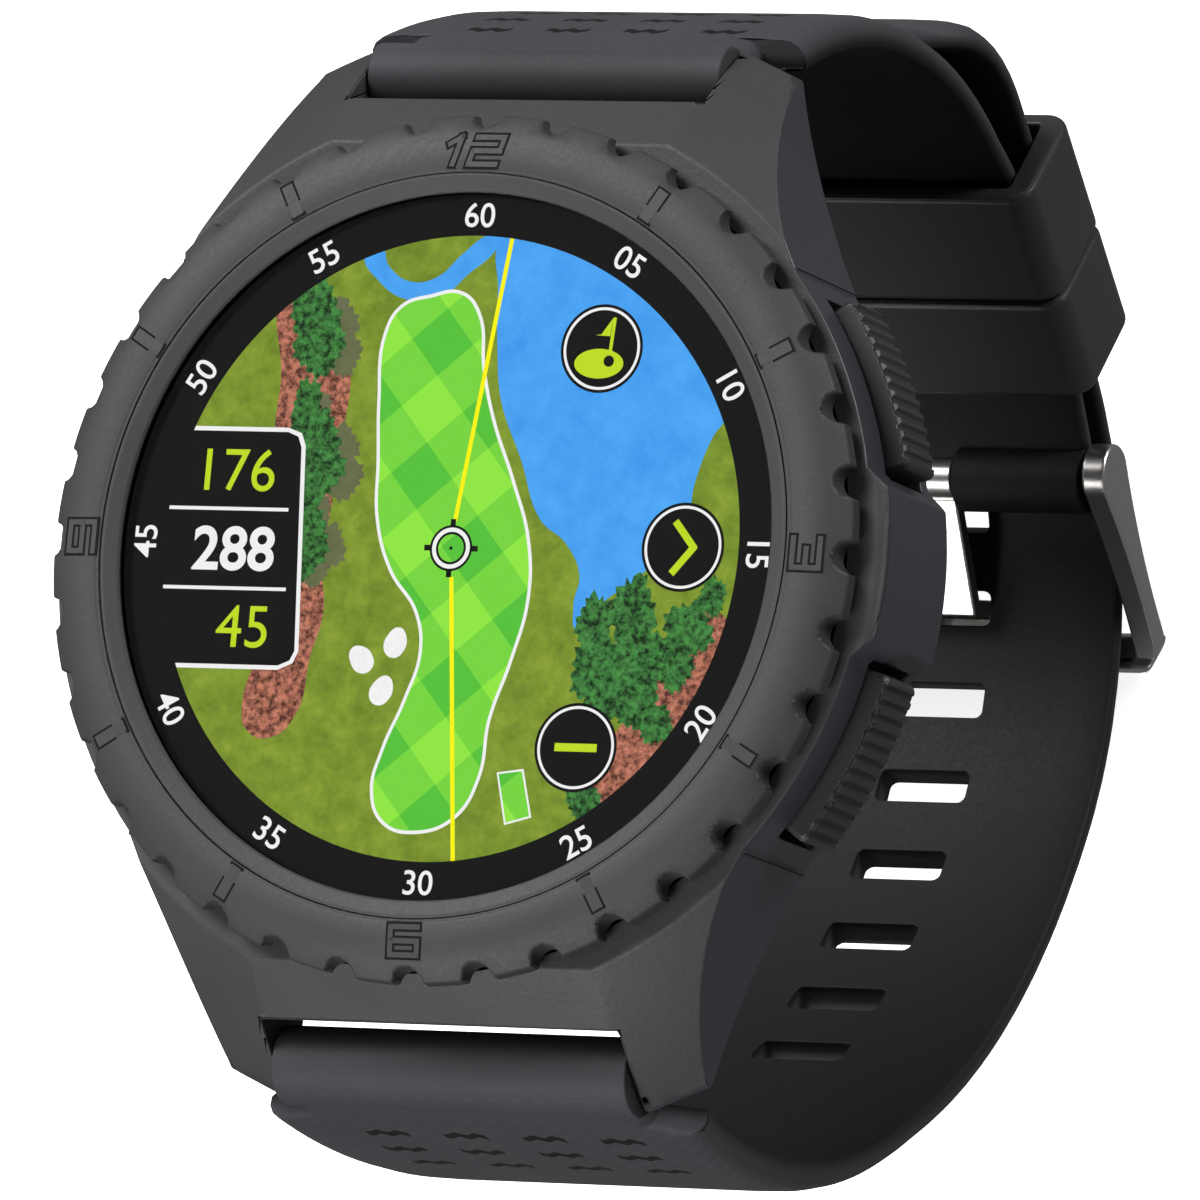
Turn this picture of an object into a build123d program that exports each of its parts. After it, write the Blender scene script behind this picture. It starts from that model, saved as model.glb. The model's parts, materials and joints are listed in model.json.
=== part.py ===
from build123d import *

import os
from math import cos, degrees, radians, sin

# Golf GPS watch with a buckled silicone strap, in millimetres.
# +Z leaves the glass, +Y points to 12 o'clock and +X to 3 o'clock, where the buttons are.
# The origin is the centre of the back cover's outer face, which lies on the wrist.

# ---------------------------------------------------------------- driving dimensions
# Case
CASE_RADIUS = 24.9            # round side wall
DECK_RADIUS = 25.4            # where the flat deck turns down towards the lug tips
DECK_Z = 11.35                # flat deck that the bezel sits on
UNDERSIDE_Z = 2.8
LUG_GAP = 22.0                # between the lugs, the strap's nominal width
LUG_TIP_Y = 30.0
LUG_TIP_Z = 3.9
CAVITY_RADIUS = 21.6
CAVITY_FLOOR_Z = 3.4
CAVITY_ROOF_Z = 10.4
WINDOW_RADIUS = 18.9          # opening over the display
GLASS_SEAT_Z = 11.7
SEAT_RADIUS = 21.0

# Bezel and glass
BEZEL_RADIUS = 24.5
BEZEL_LIP_RADIUS = 19.93
NOTCH_COUNT = 36
NOTCH_RADIUS = 0.9
GLASS_RADIUS = 20.9
GLASS_BOTTOM_Z = 12.0
GLASS_TOP_Z = 13.3

# Back
COVER_RADIUS = 21.2
COVER_TOP_Z = 2.4
SCREW_OFFSET = 13.4           # the four screws stand at (+-13.4, +-13.4)

# Side buttons
BUTTON_ANGLE = 24.5           # above and below 3 o'clock
BUTTON_Z = 6.3
BUTTON_HEIGHT = 4.0
BUTTON_HALF_ANGLE = 11.6
CAP_BACK = 23.9               # distances from the watch's axis
CAP_FACE = 26.1
POCKET_FLOOR = 23.2
STEM_RADIUS = 0.8
RUNNING_GAP = 0.05            # radial clearance of every running fit
SEAL_SEAT_RADIUS = 1.6

# Spring bars
BAR_Y = 28.2
BAR_Z = 4.6
TUBE_RADIUS = 0.9
PIN_RADIUS = 0.4
BUCKLE_Y = 15.0
BUCKLE_Z = -49.4

# Strap, described by its outer surface seen from 3 o'clock: tangent arcs of (radius, degrees)
LONG_START = (-30.15, 5.1)
LONG_HEADING = -105.4
LONG_RUNS = [(54.6, 47.1), (44.1, 33.2), (23.6, 68.5), (178.0, 6.75), (11.2, 63.0)]
LONG_THICKNESS = 1.8
SHORT_START = (29.5, 4.8)
SHORT_HEADING = -59.7
SHORT_RUNS = [(44.4, 36.5), (35.8, 41.9), (81.5, 7.0)]
SHORT_THICKNESS = 2.0
NECK_HALF = 10.9              # half width between the lugs
SHOULDER_HALF = 13.5          # half width just behind the lugs
BUCKLE_HALF = 11.0            # half width from the last third to the buckle
SHOULDER_Z = 1.4
TAPER_END_Z = -33.0
SLOT_WIDTH = 5.7
SLOT_LENGTH = 2.2
SLOT_PITCH = 5.95
SLOTS_TO_WRIST = 6            # free slots on the wrist side of the tongue
SLOTS_TO_TIP = 4
TONGUE_STATION = 84.4         # arc length from the lug bar to the slot the tongue is in

os.makedirs("parts", exist_ok=True)


def finish(shape, label):
    """Label a finished piece and write its STEP file."""
    shape.label = label
    export_step(shape, f"parts/{label}.step")


# ---------------------------------------------------------------- strap geometry
def tangent_arcs(start, heading, turn, runs):
    """List (centre y, centre z, radius, first angle, sweep) for arcs that follow one another."""
    y, z = start
    arcs = []
    for radius, sweep in runs:
        side = radians(heading + 90 * turn)
        centre_y = y + radius * cos(side)
        centre_z = z + radius * sin(side)
        first = heading - 90 * turn
        arcs.append((centre_y, centre_z, radius, first, turn * sweep))
        heading += turn * sweep
        last = radians(first + turn * sweep)
        y = centre_y + radius * cos(last)
        z = centre_z + radius * sin(last)
    return arcs


def station(arcs, distance, depth=0.0):
    """Point (y, z) and heading at an arc length along the outer surface, some depth inside it."""
    for centre_y, centre_z, radius, first, sweep in arcs:
        length = radius * radians(abs(sweep))
        if distance <= length or (centre_y, centre_z, radius, first, sweep) == arcs[-1]:
            angle = first + sweep * distance / length
            reach = radius - depth
            y = centre_y + reach * cos(radians(angle))
            z = centre_z + reach * sin(radians(angle))
            return y, z, angle + (90 if sweep > 0 else -90)
        distance -= length


def cross_plane(y, z, heading):
    """Plane across the strap: its x is the watch's X, its y points out of the loop."""
    along = (0, cos(radians(heading)), sin(radians(heading)))
    return Plane(origin=(0, y, z), x_dir=(1, 0, 0), z_dir=along)


def surface_plane(y, z, heading):
    """Plane on the strap's long strand, with its normal pointing out of the loop."""
    outward = (0, sin(radians(heading)), -cos(radians(heading)))
    return Plane(origin=(0, y, z), x_dir=(1, 0, 0), z_dir=outward)


def draw_band(arcs, thickness):
    """Outline of a band of even thickness inside tangent arcs, for use in a BuildLine."""
    outer = []
    inner = []
    for centre_y, centre_z, radius, first, sweep in arcs:
        centre = (centre_y, centre_z)
        outer.append(CenterArc(centre, radius, first, sweep))
        inner.append(CenterArc(centre, radius - thickness, first, sweep))
    Line(outer[0] @ 0, inner[0] @ 0)
    Line(outer[-1] @ 1, inner[-1] @ 1)


LONG_ARCS = tangent_arcs(LONG_START, LONG_HEADING, 1, LONG_RUNS)
SHORT_ARCS = tangent_arcs(SHORT_START, SHORT_HEADING, -1, SHORT_RUNS)

# ---------------------------------------------------------------- case
LUG_ROOT = (18.9, 16.3)
LUG_SIDE = (16.4, 22.0)
LUG_CORNER = (14.7, 28.4)
CROWN_RADIUS = 32.1           # where the turned crown ends, at the lug tips
FACET_TOP_Y = 23.2            # the deck's edge between the lugs
FACET_EDGE = (26.2, 8.7)      # straight lower edge of that facet, (y, z)
END_WALL_FOOT = (25.0, UNDERSIDE_Z)
GUARD_HALF = 4.3              # crown guard between the buttons
GUARD_FACE = 25.9
PLAN_HEIGHT = 12.0

with BuildPart() as case:
    with BuildSketch(Plane.XY.offset(UNDERSIDE_Z)):
        with BuildLine():
            flank = ThreePointArc(LUG_ROOT, LUG_SIDE, LUG_CORNER)
            Polyline(flank @ 1, (LUG_GAP / 2, LUG_TIP_Y), (LUG_GAP / 2, 0), flank @ 0)
        make_face()
        mirror(about=Plane.YZ)
        mirror(about=Plane.XZ)
        Circle(CASE_RADIUS)
        Rectangle(LUG_GAP + 1, 2 * FACET_EDGE[0])
        with BuildLine():
            guard_arc = ThreePointArc(
                (GUARD_FACE - 0.4, -GUARD_HALF), (GUARD_FACE, 0), (GUARD_FACE - 0.4, GUARD_HALF)
            )
            Polyline(guard_arc @ 1, (GUARD_FACE - 2.0, GUARD_HALF + 1.4),
                     (GUARD_FACE - 2.0, -GUARD_HALF - 1.4), guard_arc @ 0)
        make_face()
    extrude(amount=PLAN_HEIGHT)
    # The blank is turned: flat deck, then a crowned cone down to the lug tips.
    with BuildSketch(Plane.XZ):
        with BuildLine():
            crown = ThreePointArc((DECK_RADIUS, DECK_Z), (29.0, 7.85), (CROWN_RADIUS, LUG_TIP_Z))
            Polyline(crown @ 1, (CROWN_RADIUS, LUG_TIP_Z - 0.5), (27.0, UNDERSIDE_Z),
                     (0, UNDERSIDE_Z), (0, DECK_Z), crown @ 0)
        make_face()
    revolve(axis=Axis.Z, mode=Mode.INTERSECT)
    # Facet and undercut end wall between the lugs, clear of the strap's barrel.
    for side in (1, -1):
        with BuildSketch(Plane.YZ):
            with BuildLine():
                Polyline((side * FACET_TOP_Y, DECK_Z), (side * FACET_TOP_Y, DECK_Z + 2),
                         (side * 34, DECK_Z + 2), (side * 34, UNDERSIDE_Z - 1),
                         (side * (END_WALL_FOOT[0] - 0.2), UNDERSIDE_Z - 1),
                         (side * FACET_EDGE[0], FACET_EDGE[1]), close=True)
            make_face()
        extrude(amount=LUG_GAP / 2, both=True, mode=Mode.SUBTRACT)
    # Foot ring around the back cover.
    with BuildSketch(Plane.XZ):
        with BuildLine():
            Polyline((19.6, COVER_TOP_Z), (21.3, COVER_TOP_Z), (21.3, 1.1), (22.6, 1.1),
                     (24.2, UNDERSIDE_Z), (24.2, 4.0), (19.6, 4.0), close=True)
        make_face()
    revolve(axis=Axis.Z)
    # Inside: cavity, display window and the seat of the glass.
    with BuildSketch(Plane.XY):
        Circle(19.6)
    extrude(amount=CAVITY_FLOOR_Z, mode=Mode.SUBTRACT)
    with BuildSketch(Plane.XY):
        Circle(21.3)
    extrude(amount=COVER_TOP_Z, mode=Mode.SUBTRACT)
    with BuildSketch(Plane.XY.offset(CAVITY_FLOOR_Z)):
        Circle(CAVITY_RADIUS)
    extrude(amount=CAVITY_ROOF_Z - CAVITY_FLOOR_Z, mode=Mode.SUBTRACT)
    with BuildSketch(Plane.XY.offset(CAVITY_ROOF_Z)):
        Circle(WINDOW_RADIUS)
    extrude(amount=3, mode=Mode.SUBTRACT)
    with BuildSketch(Plane.XY.offset(DECK_Z)):
        Circle(SEAT_RADIUS)
        Circle(WINDOW_RADIUS, mode=Mode.SUBTRACT)
    extrude(amount=GLASS_SEAT_Z - DECK_Z)
    # Screw bosses in the four quadrants.
    with BuildSketch(Plane.XY.offset(COVER_TOP_Z)):
        with GridLocations(2 * SCREW_OFFSET, 2 * SCREW_OFFSET, 2, 2):
            Circle(1.9)
    extrude(amount=4.2)
    with BuildSketch(Plane.XY.offset(COVER_TOP_Z)):
        with GridLocations(2 * SCREW_OFFSET, 2 * SCREW_OFFSET, 2, 2):
            Circle(0.65)
    extrude(amount=3.4, mode=Mode.SUBTRACT)
    # Groove for the back gasket.
    with BuildSketch(Plane.XY.offset(COVER_TOP_Z)):
        Circle(20.9)
        Circle(19.95, mode=Mode.SUBTRACT)
    extrude(amount=0.5, mode=Mode.SUBTRACT)
    # Pockets, stem bores and seal seats of the side buttons.
    for angle in (BUTTON_ANGLE, -BUTTON_ANGLE):
        half = BUTTON_HALF_ANGLE + 1.3
        with BuildSketch(Plane.XY.offset(BUTTON_Z - BUTTON_HEIGHT / 2 - 0.4)):
            with BuildLine():
                floor = CenterArc((0, 0), POCKET_FLOOR, angle - half, 2 * half)
                mouth = CenterArc((0, 0), 28.0, angle - half, 2 * half)
                Line(floor @ 0, mouth @ 0)
                Line(floor @ 1, mouth @ 1)
            make_face()
        extrude(amount=BUTTON_HEIGHT + 0.8, mode=Mode.SUBTRACT)
        outward = (cos(radians(angle)), sin(radians(angle)), 0)
        radial = Plane(origin=(0, 0, BUTTON_Z), x_dir=(0, 0, 1), z_dir=outward)
        with BuildSketch(radial.offset(20.0)):
            Circle(STEM_RADIUS + RUNNING_GAP)
        extrude(amount=4.0, mode=Mode.SUBTRACT)
        with BuildSketch(radial.offset(22.3)):
            Circle(SEAL_SEAT_RADIUS)
        extrude(amount=1.5, mode=Mode.SUBTRACT)
    # Blind holes for the spring bars' pins.
    for side in (1, -1):
        with BuildSketch(Plane(origin=(-12.5, side * BAR_Y, BAR_Z), z_dir=(1, 0, 0))):
            Circle(PIN_RADIUS + RUNNING_GAP)
        extrude(amount=25.0, mode=Mode.SUBTRACT)
finish(case.part, "case")

# ---------------------------------------------------------------- bezel ring
BEZEL_SKIRT_RADIUS = 23.6
BEZEL_FOOT_Z = 11.75

with BuildPart() as bezel_ring:
    with BuildSketch(Plane.XZ):
        with BuildLine():
            Polyline((BEZEL_LIP_RADIUS, 13.35), (BEZEL_LIP_RADIUS, 13.7), (20.9, 14.05),
                     (21.15, 13.9), (21.35, 14.0), (23.3, 13.8), (BEZEL_RADIUS, 12.8),
                     (BEZEL_RADIUS, BEZEL_FOOT_Z), (BEZEL_SKIRT_RADIUS, BEZEL_FOOT_Z),
                     (BEZEL_SKIRT_RADIUS, DECK_Z), (21.05, DECK_Z), (21.05, 13.35), close=True)
        make_face()
    revolve(axis=Axis.Z)
    with BuildSketch(Plane.XY.offset(BEZEL_FOOT_Z)):
        with PolarLocations(BEZEL_RADIUS + 0.05, NOTCH_COUNT):
            Circle(NOTCH_RADIUS)
    extrude(amount=3, mode=Mode.SUBTRACT)
finish(bezel_ring.part, "bezel_ring")


# ---------------------------------------------------------------- glass and display stack
def disc(radius, low, high, hole=0.0):
    """Flat disc or ring between two heights."""
    with BuildPart() as made:
        with BuildSketch(Plane.XY.offset(low)):
            Circle(radius)
            if hole:
                Circle(hole, mode=Mode.SUBTRACT)
        extrude(amount=high - low)
    return made.part


with BuildPart() as cover_glass:
    with BuildSketch(Plane.XY.offset(GLASS_BOTTOM_Z)):
        Circle(GLASS_RADIUS)
    extrude(amount=GLASS_TOP_Z - GLASS_BOTTOM_Z)
    chamfer(cover_glass.edges().group_by(Axis.Z)[-1], 0.25)
finish(cover_glass.part, "cover_glass")

finish(disc(20.7, GLASS_SEAT_Z, GLASS_BOTTOM_Z, hole=19.1), "glass_gasket")
finish(disc(18.7, 11.75, GLASS_BOTTOM_Z), "touch_panel")

with BuildPart() as display_panel:
    with BuildSketch(Plane.XY.offset(10.85)):
        Circle(18.3)
    extrude(amount=0.9)
    chamfer(display_panel.edges().group_by(Axis.Z)[0], 0.2)
finish(display_panel.part, "display_panel")

with BuildPart() as display_flex:
    with BuildSketch(Plane.YZ):
        with BuildLine():
            bend = CenterArc((-14.6, 10.1), 0.68, 90, 180)
            drop = Line(bend @ 1, (-13.0, 9.42))
            back = CenterArc((-14.6, 10.1), 0.53, 90, 180)
            rise = Line(back @ 1, (-13.0, 9.57))
            Line(drop @ 1, rise @ 1)
            top_out = Line(bend @ 0, (-12.0, 10.78))
            top_in = Line(back @ 0, (-12.0, 10.63))
            Line(top_out @ 1, top_in @ 1)
        make_face()
    extrude(amount=4.5, both=True)
finish(display_flex.part, "display_flex")

# ---------------------------------------------------------------- inner chassis, board and battery
CHASSIS_RADIUS = 18.7
BOARD_RADIUS = 17.8
PLATE_Z = 7.4
BOARD_Z = 8.4

with BuildPart() as chassis:
    with BuildSketch(Plane.XY.offset(PLATE_Z)):
        Circle(CHASSIS_RADIUS)
    extrude(amount=0.6)
    with BuildSketch(Plane.XY.offset(PLATE_Z)):
        Circle(CHASSIS_RADIUS)
        Circle(CHASSIS_RADIUS - 0.7, mode=Mode.SUBTRACT)
    extrude(amount=2.9)
    with BuildSketch(Plane.XY.offset(PLATE_Z)):
        with GridLocations(24, 24, 2, 2):
            Circle(1.4)
    extrude(amount=BOARD_Z - PLATE_Z)
    with BuildSketch(Plane.XY.offset(PLATE_Z)):
        with Locations((15.8, 0)):
            SlotOverall(9.0, 1.4, rotation=90)
        with Locations((-8.0, 0)):
            SlotOverall(12.0, 3.0, rotation=90)
        with Locations((2.0, 13.5)):
            SlotOverall(9.0, 2.2)
    extrude(amount=0.6, mode=Mode.SUBTRACT)
finish(chassis.part, "chassis")

with BuildPart() as main_board:
    with BuildSketch(Plane.XY.offset(BOARD_Z)):
        Circle(BOARD_RADIUS)
        with Locations((15.8, 0)):
            SlotOverall(9.0, 1.4, rotation=90, mode=Mode.SUBTRACT)
        with PolarLocations(BOARD_RADIUS, 6, start_angle=30):
            Circle(1.1, mode=Mode.SUBTRACT)
    extrude(amount=0.8)
finish(main_board.part, "main_board")

CAN_CENTRE = (-6.5, 2.5)
with BuildPart() as shield_can:
    with BuildSketch(Plane.XY.offset(BOARD_Z + 0.8)):
        with Locations(CAN_CENTRE):
            RectangleRounded(14, 15, 0.8)
    extrude(amount=1.2)
    with BuildSketch(Plane.XY.offset(BOARD_Z + 0.8)):
        with Locations(CAN_CENTRE):
            RectangleRounded(13.6, 14.6, 0.6)
    extrude(amount=1.0, mode=Mode.SUBTRACT)
finish(shield_can.part, "shield_can")


def chip(x, y, width, depth, height, low=BOARD_Z + 0.8):
    """Flat electronic package on the board."""
    with BuildPart() as made:
        with BuildSketch(Plane.XY.offset(low)):
            with Locations((x, y)):
                Rectangle(width, depth)
        extrude(amount=height)
        chamfer(made.edges().group_by(Axis.Z)[-1], 0.1)
    return made.part


finish(chip(-8.5, 5.0, 7.0, 7.0, 0.9), "processor_chip")
finish(chip(-6.0, -1.8, 5.0, 4.5, 0.8), "gnss_receiver_chip")
finish(chip(8.5, -6.5, 6.0, 3.0, 0.9), "motion_sensor_chip")
finish(chip(0.0, -12.6, 9.0, 2.4, 0.2), "display_connector")

with BuildPart() as gnss_antenna:
    with BuildSketch(Plane.XY.offset(6.0)):
        with BuildLine():
            strip_in = CenterArc((0, 0), 20.9, 55, 70)
            strip_out = CenterArc((0, 0), 21.5, 55, 70)
            Line(strip_in @ 0, strip_out @ 0)
            Line(strip_in @ 1, strip_out @ 1)
        make_face()
    extrude(amount=3.6)
finish(gnss_antenna.part, "gnss_antenna")

with BuildPart() as battery:
    with BuildSketch(Plane.XY.offset(3.5)):
        with Locations((-3.0, 0.5)):
            RectangleRounded(25, 20, 1.2)
    extrude(amount=3.8)
    fillet(battery.edges().group_by(Axis.Z)[-1] + battery.edges().group_by(Axis.Z)[0], 0.6)
finish(battery.part, "battery")

# ---------------------------------------------------------------- vibration motor
MOTOR = (0.0, -15.1)
MOTOR_LOW = 4.75

with BuildPart() as motor_base:
    with BuildSketch(Plane.XY.offset(MOTOR_LOW)):
        with Locations(MOTOR):
            Circle(3.7)
    extrude(amount=0.3)
    with BuildSketch(Plane.XY.offset(MOTOR_LOW)):
        with Locations(MOTOR):
            Circle(0.35)
    extrude(amount=2.3)
finish(motor_base.part, "motor_base")

with BuildPart() as motor_can:
    with BuildSketch(Plane.XY.offset(MOTOR_LOW)):
        with Locations(MOTOR):
            Circle(3.95)
    extrude(amount=2.6)
    with BuildSketch(Plane.XY.offset(MOTOR_LOW)):
        with Locations(MOTOR):
            Circle(3.7)
    extrude(amount=2.35, mode=Mode.SUBTRACT)
finish(motor_can.part, "motor_can")

with BuildPart() as motor_rotor:
    with BuildSketch(Plane.XY.offset(MOTOR_LOW + 0.45)):
        with Locations(MOTOR):
            Circle(3.4)
            with Locations((0, -3.4)):
                Rectangle(7, 6.8, mode=Mode.SUBTRACT)
            Circle(1.0)
            Circle(0.35 + RUNNING_GAP, mode=Mode.SUBTRACT)
    extrude(amount=1.6)
finish(motor_rotor.part, "motor_rotor")

# ---------------------------------------------------------------- back cover
CONTACT_Y = -11.0
CONTACT_PITCH = 3.0

with BuildPart() as back_cover:
    with BuildSketch(Plane.XZ):
        with BuildLine():
            rim = ThreePointArc((COVER_RADIUS, 1.2), (19.6, 0.35), (16.8, 0))
            Polyline(rim @ 1, (0, 0), (0, COVER_TOP_Z - 0.6), (19.4, COVER_TOP_Z - 0.6),
                     (19.4, COVER_TOP_Z), (COVER_RADIUS, COVER_TOP_Z), rim @ 0)
        make_face()
    revolve(axis=Axis.Z)
    with BuildSketch(Plane.XY.offset(COVER_TOP_Z - 0.6)):
        with GridLocations(2 * SCREW_OFFSET, 2 * SCREW_OFFSET, 2, 2):
            Circle(1.9)
    extrude(amount=0.6)
    with BuildSketch(Plane.XY.offset(-1)):
        with GridLocations(2 * SCREW_OFFSET, 2 * SCREW_OFFSET, 2, 2):
            Circle(0.75)
    extrude(amount=4, mode=Mode.SUBTRACT)
    with BuildSketch(Plane.XY.offset(-1)):
        with GridLocations(2 * SCREW_OFFSET, 2 * SCREW_OFFSET, 2, 2):
            Circle(1.35)
    extrude(amount=2.1, mode=Mode.SUBTRACT)
    with BuildSketch(Plane.XY.offset(-1)):
        with Locations((0, CONTACT_Y)):
            with GridLocations(CONTACT_PITCH, 0, 4, 1):
                Circle(0.75)
    extrude(amount=4, mode=Mode.SUBTRACT)
finish(back_cover.part, "back_cover")

finish(disc(20.85, COVER_TOP_Z, COVER_TOP_Z + 0.5, hole=20.0), "back_gasket")

with BuildPart() as back_cover_screws:
    with BuildSketch(Plane.XY.offset(0.45)):
        with GridLocations(2 * SCREW_OFFSET, 2 * SCREW_OFFSET, 2, 2):
            Circle(1.25)
            RegularPolygon(0.55, 6, mode=Mode.SUBTRACT)
    extrude(amount=0.65)
    with BuildSketch(Plane.XY.offset(0.8)):
        with GridLocations(2 * SCREW_OFFSET, 2 * SCREW_OFFSET, 2, 2):
            Circle(0.65)
    extrude(amount=4.6)
finish(back_cover_screws.part, "back_cover_screws")

with BuildPart() as charge_contacts:
    with BuildSketch(Plane.XY.offset(0.1)):
        with Locations((0, CONTACT_Y)):
            with GridLocations(CONTACT_PITCH, 0, 4, 1):
                Circle(0.75)
    extrude(amount=2.1)
finish(charge_contacts.part, "charge_contacts")


# ---------------------------------------------------------------- side buttons
SPRING_COIL = 1.15
SPRING_WIRE = 0.13
SPRING_PITCH = 0.42
SPRING_LENGTH = 1.05
SEAL_CORD = 0.37
STEM_END = 20.05              # half a millimetre of travel before the switch

with BuildPart() as button_flex:
    with BuildSketch(Plane.XY.offset(4.9)):
        with BuildLine():
            flex_in = CenterArc((0, 0), 15.7, -33, 66)
            flex_out = CenterArc((0, 0), 15.85, -33, 66)
            Line(flex_in @ 0, flex_out @ 0)
            Line(flex_in @ 1, flex_out @ 1)
        make_face()
    extrude(amount=2.4)
    with BuildSketch(Plane.XY.offset(7.3)):
        with BuildLine():
            tab_in = CenterArc((0, 0), 15.7, -12, 24)
            tab_out = CenterArc((0, 0), 15.85, -12, 24)
            Line(tab_in @ 0, tab_out @ 0)
            Line(tab_in @ 1, tab_out @ 1)
        make_face()
    extrude(amount=2.0)
finish(button_flex.part, "button_flex")


def make_button(name, angle):
    """The pieces of one side button, from its ribbed cap to its switch."""
    outward = (cos(radians(angle)), sin(radians(angle)), 0)
    radial = Plane(origin=(0, 0, BUTTON_Z), x_dir=(0, 0, 1), z_dir=outward)
    low = BUTTON_Z - BUTTON_HEIGHT / 2

    with BuildPart() as cap:
        with BuildSketch(Plane.XY.offset(low)):
            with BuildLine():
                back = CenterArc((0, 0), CAP_BACK, angle - BUTTON_HALF_ANGLE, 2 * BUTTON_HALF_ANGLE)
                face = CenterArc((0, 0), CAP_FACE, angle - BUTTON_HALF_ANGLE, 2 * BUTTON_HALF_ANGLE)
                Line(back @ 0, face @ 0)
                Line(back @ 1, face @ 1)
            make_face()
        extrude(amount=BUTTON_HEIGHT)
        fillet(cap.edges().filter_by(Axis.Z).sort_by_distance((0, 0, BUTTON_Z))[-2:], 0.5)
        chamfer(cap.faces().sort_by(Axis.Z)[-1].edges() + cap.faces().sort_by(Axis.Z)[0].edges(), 0.25)
        with BuildSketch(Plane.XY.offset(low)):
            with PolarLocations(CAP_FACE + 0.02, 12, start_angle=angle - 9.9, angular_range=19.8, endpoint=True):
                Circle(0.24)
        extrude(amount=BUTTON_HEIGHT, mode=Mode.SUBTRACT)
        with BuildSketch(radial.offset(CAP_BACK - 0.5)):
            Circle(SPRING_COIL + 0.35)
        extrude(amount=1.7, mode=Mode.SUBTRACT)
        with BuildSketch(radial.offset(CAP_BACK)):
            Circle(STEM_RADIUS)
        extrude(amount=1.4)
        with BuildSketch(radial.offset(CAP_BACK)):
            Circle(0.5)
        extrude(amount=0.8, mode=Mode.SUBTRACT)
    finish(cap.part, f"{name}_button_cap")

    with BuildPart() as stem:
        with BuildSketch(radial.offset(STEM_END)):
            Circle(STEM_RADIUS)
        extrude(amount=CAP_BACK - STEM_END)
        with BuildSketch(radial.offset(CAP_BACK)):
            Circle(0.5)
        extrude(amount=0.8)
        with BuildSketch(radial.offset(21.05)):
            Circle(STEM_RADIUS)
            Circle(0.55, mode=Mode.SUBTRACT)
        extrude(amount=0.4, mode=Mode.SUBTRACT)
    finish(stem.part, f"{name}_button_stem")

    with BuildPart() as clip:
        with BuildSketch(radial.offset(21.05)):
            Circle(1.05)
            Circle(0.55, mode=Mode.SUBTRACT)
            with Locations((0, -0.8)):
                Rectangle(0.7, 1.2, mode=Mode.SUBTRACT)
        extrude(amount=0.4)
    finish(clip.part, f"{name}_stem_clip")

    with BuildPart() as seal:
        across = (-outward[1], outward[0], 0)
        with BuildSketch(Plane(origin=radial.offset(22.75).origin, x_dir=(0, 0, 1), z_dir=across)):
            with Locations((STEM_RADIUS + 0.03 + SEAL_CORD, 0)):
                Circle(SEAL_CORD)
        revolve(axis=Axis(radial.origin, outward))
    finish(seal.part, f"{name}_stem_seal")

    with BuildPart() as spring:
        with BuildLine() as coil:
            Helix(pitch=SPRING_PITCH, height=SPRING_LENGTH, radius=SPRING_COIL,
                  center=radial.offset(CAP_BACK - 0.05).origin, direction=outward)
        with BuildSketch(Plane(origin=coil.line @ 0, z_dir=coil.line % 0)):
            Circle(SPRING_WIRE)
        sweep(path=coil.line, is_frenet=True)
    finish(spring.part, f"{name}_return_spring")

    with BuildPart() as switch:
        with BuildSketch(radial.offset(15.95)):
            Rectangle(1.9, 4.6)
        extrude(amount=2.45)
        with BuildSketch(radial.offset(17.2)):
            Circle(0.65)
        extrude(amount=1.3, mode=Mode.SUBTRACT)
    finish(switch.part, f"{name}_switch")

    with BuildPart() as plunger:
        with BuildSketch(radial.offset(17.9)):
            Circle(0.6)
        extrude(amount=1.6)
    finish(plunger.part, f"{name}_switch_plunger")


make_button("upper", BUTTON_ANGLE)
make_button("lower", -BUTTON_ANGLE)

# ---------------------------------------------------------------- spring bars


def make_bar(name, y, z, half_gap, tube_radius):
    """Tube, two sprung tips and the spring between them; half_gap is half the opening it spans."""
    tube_half = half_gap - 0.7
    bore = tube_radius - 0.25
    flange = bore - RUNNING_GAP
    start = Plane(origin=(-tube_half, y, z), z_dir=(1, 0, 0))

    with BuildPart() as tube:
        with BuildSketch(start):
            Circle(tube_radius)
            Circle(PIN_RADIUS + RUNNING_GAP, mode=Mode.SUBTRACT)
        extrude(amount=2 * tube_half)
        with BuildSketch(start.offset(0.3)):
            Circle(bore)
        extrude(amount=2 * tube_half - 0.6, mode=Mode.SUBTRACT)
    finish(tube.part, f"{name}_bar_tube")

    for side, label in ((1, "right"), (-1, "left")):
        with BuildPart() as tip:
            with BuildSketch(Plane(origin=(side * (tube_half - 2.0), y, z), z_dir=(side, 0, 0))):
                Circle(flange)
            extrude(amount=1.65)
            with BuildSketch(Plane(origin=(side * (tube_half - 2.0), y, z), z_dir=(side, 0, 0))):
                Circle(PIN_RADIUS)
            extrude(amount=3.6)
            chamfer(tip.faces().sort_by(Axis.X)[-1 if side > 0 else 0].edges(), 0.12)
        finish(tip.part, f"{name}_bar_{label}_tip")

    spring_half = tube_half - 3.2
    with BuildPart() as spring:
        with BuildSketch(Plane(origin=(-spring_half, y, z), z_dir=(1, 0, 0))):
            Circle(flange - 0.02)
            Circle(flange - 0.2, mode=Mode.SUBTRACT)
        extrude(amount=2 * spring_half)
    finish(spring.part, f"{name}_bar_spring")


BUCKLE_TUBE_RADIUS = 0.85
BUCKLE_GAP_HALF = 11.3
make_bar("twelve", BAR_Y, BAR_Z, LUG_GAP / 2, TUBE_RADIUS)
make_bar("six", -BAR_Y, BAR_Z, LUG_GAP / 2, TUBE_RADIUS)
make_bar("buckle", BUCKLE_Y, BUCKLE_Z, BUCKLE_GAP_HALF, BUCKLE_TUBE_RADIUS)

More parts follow.
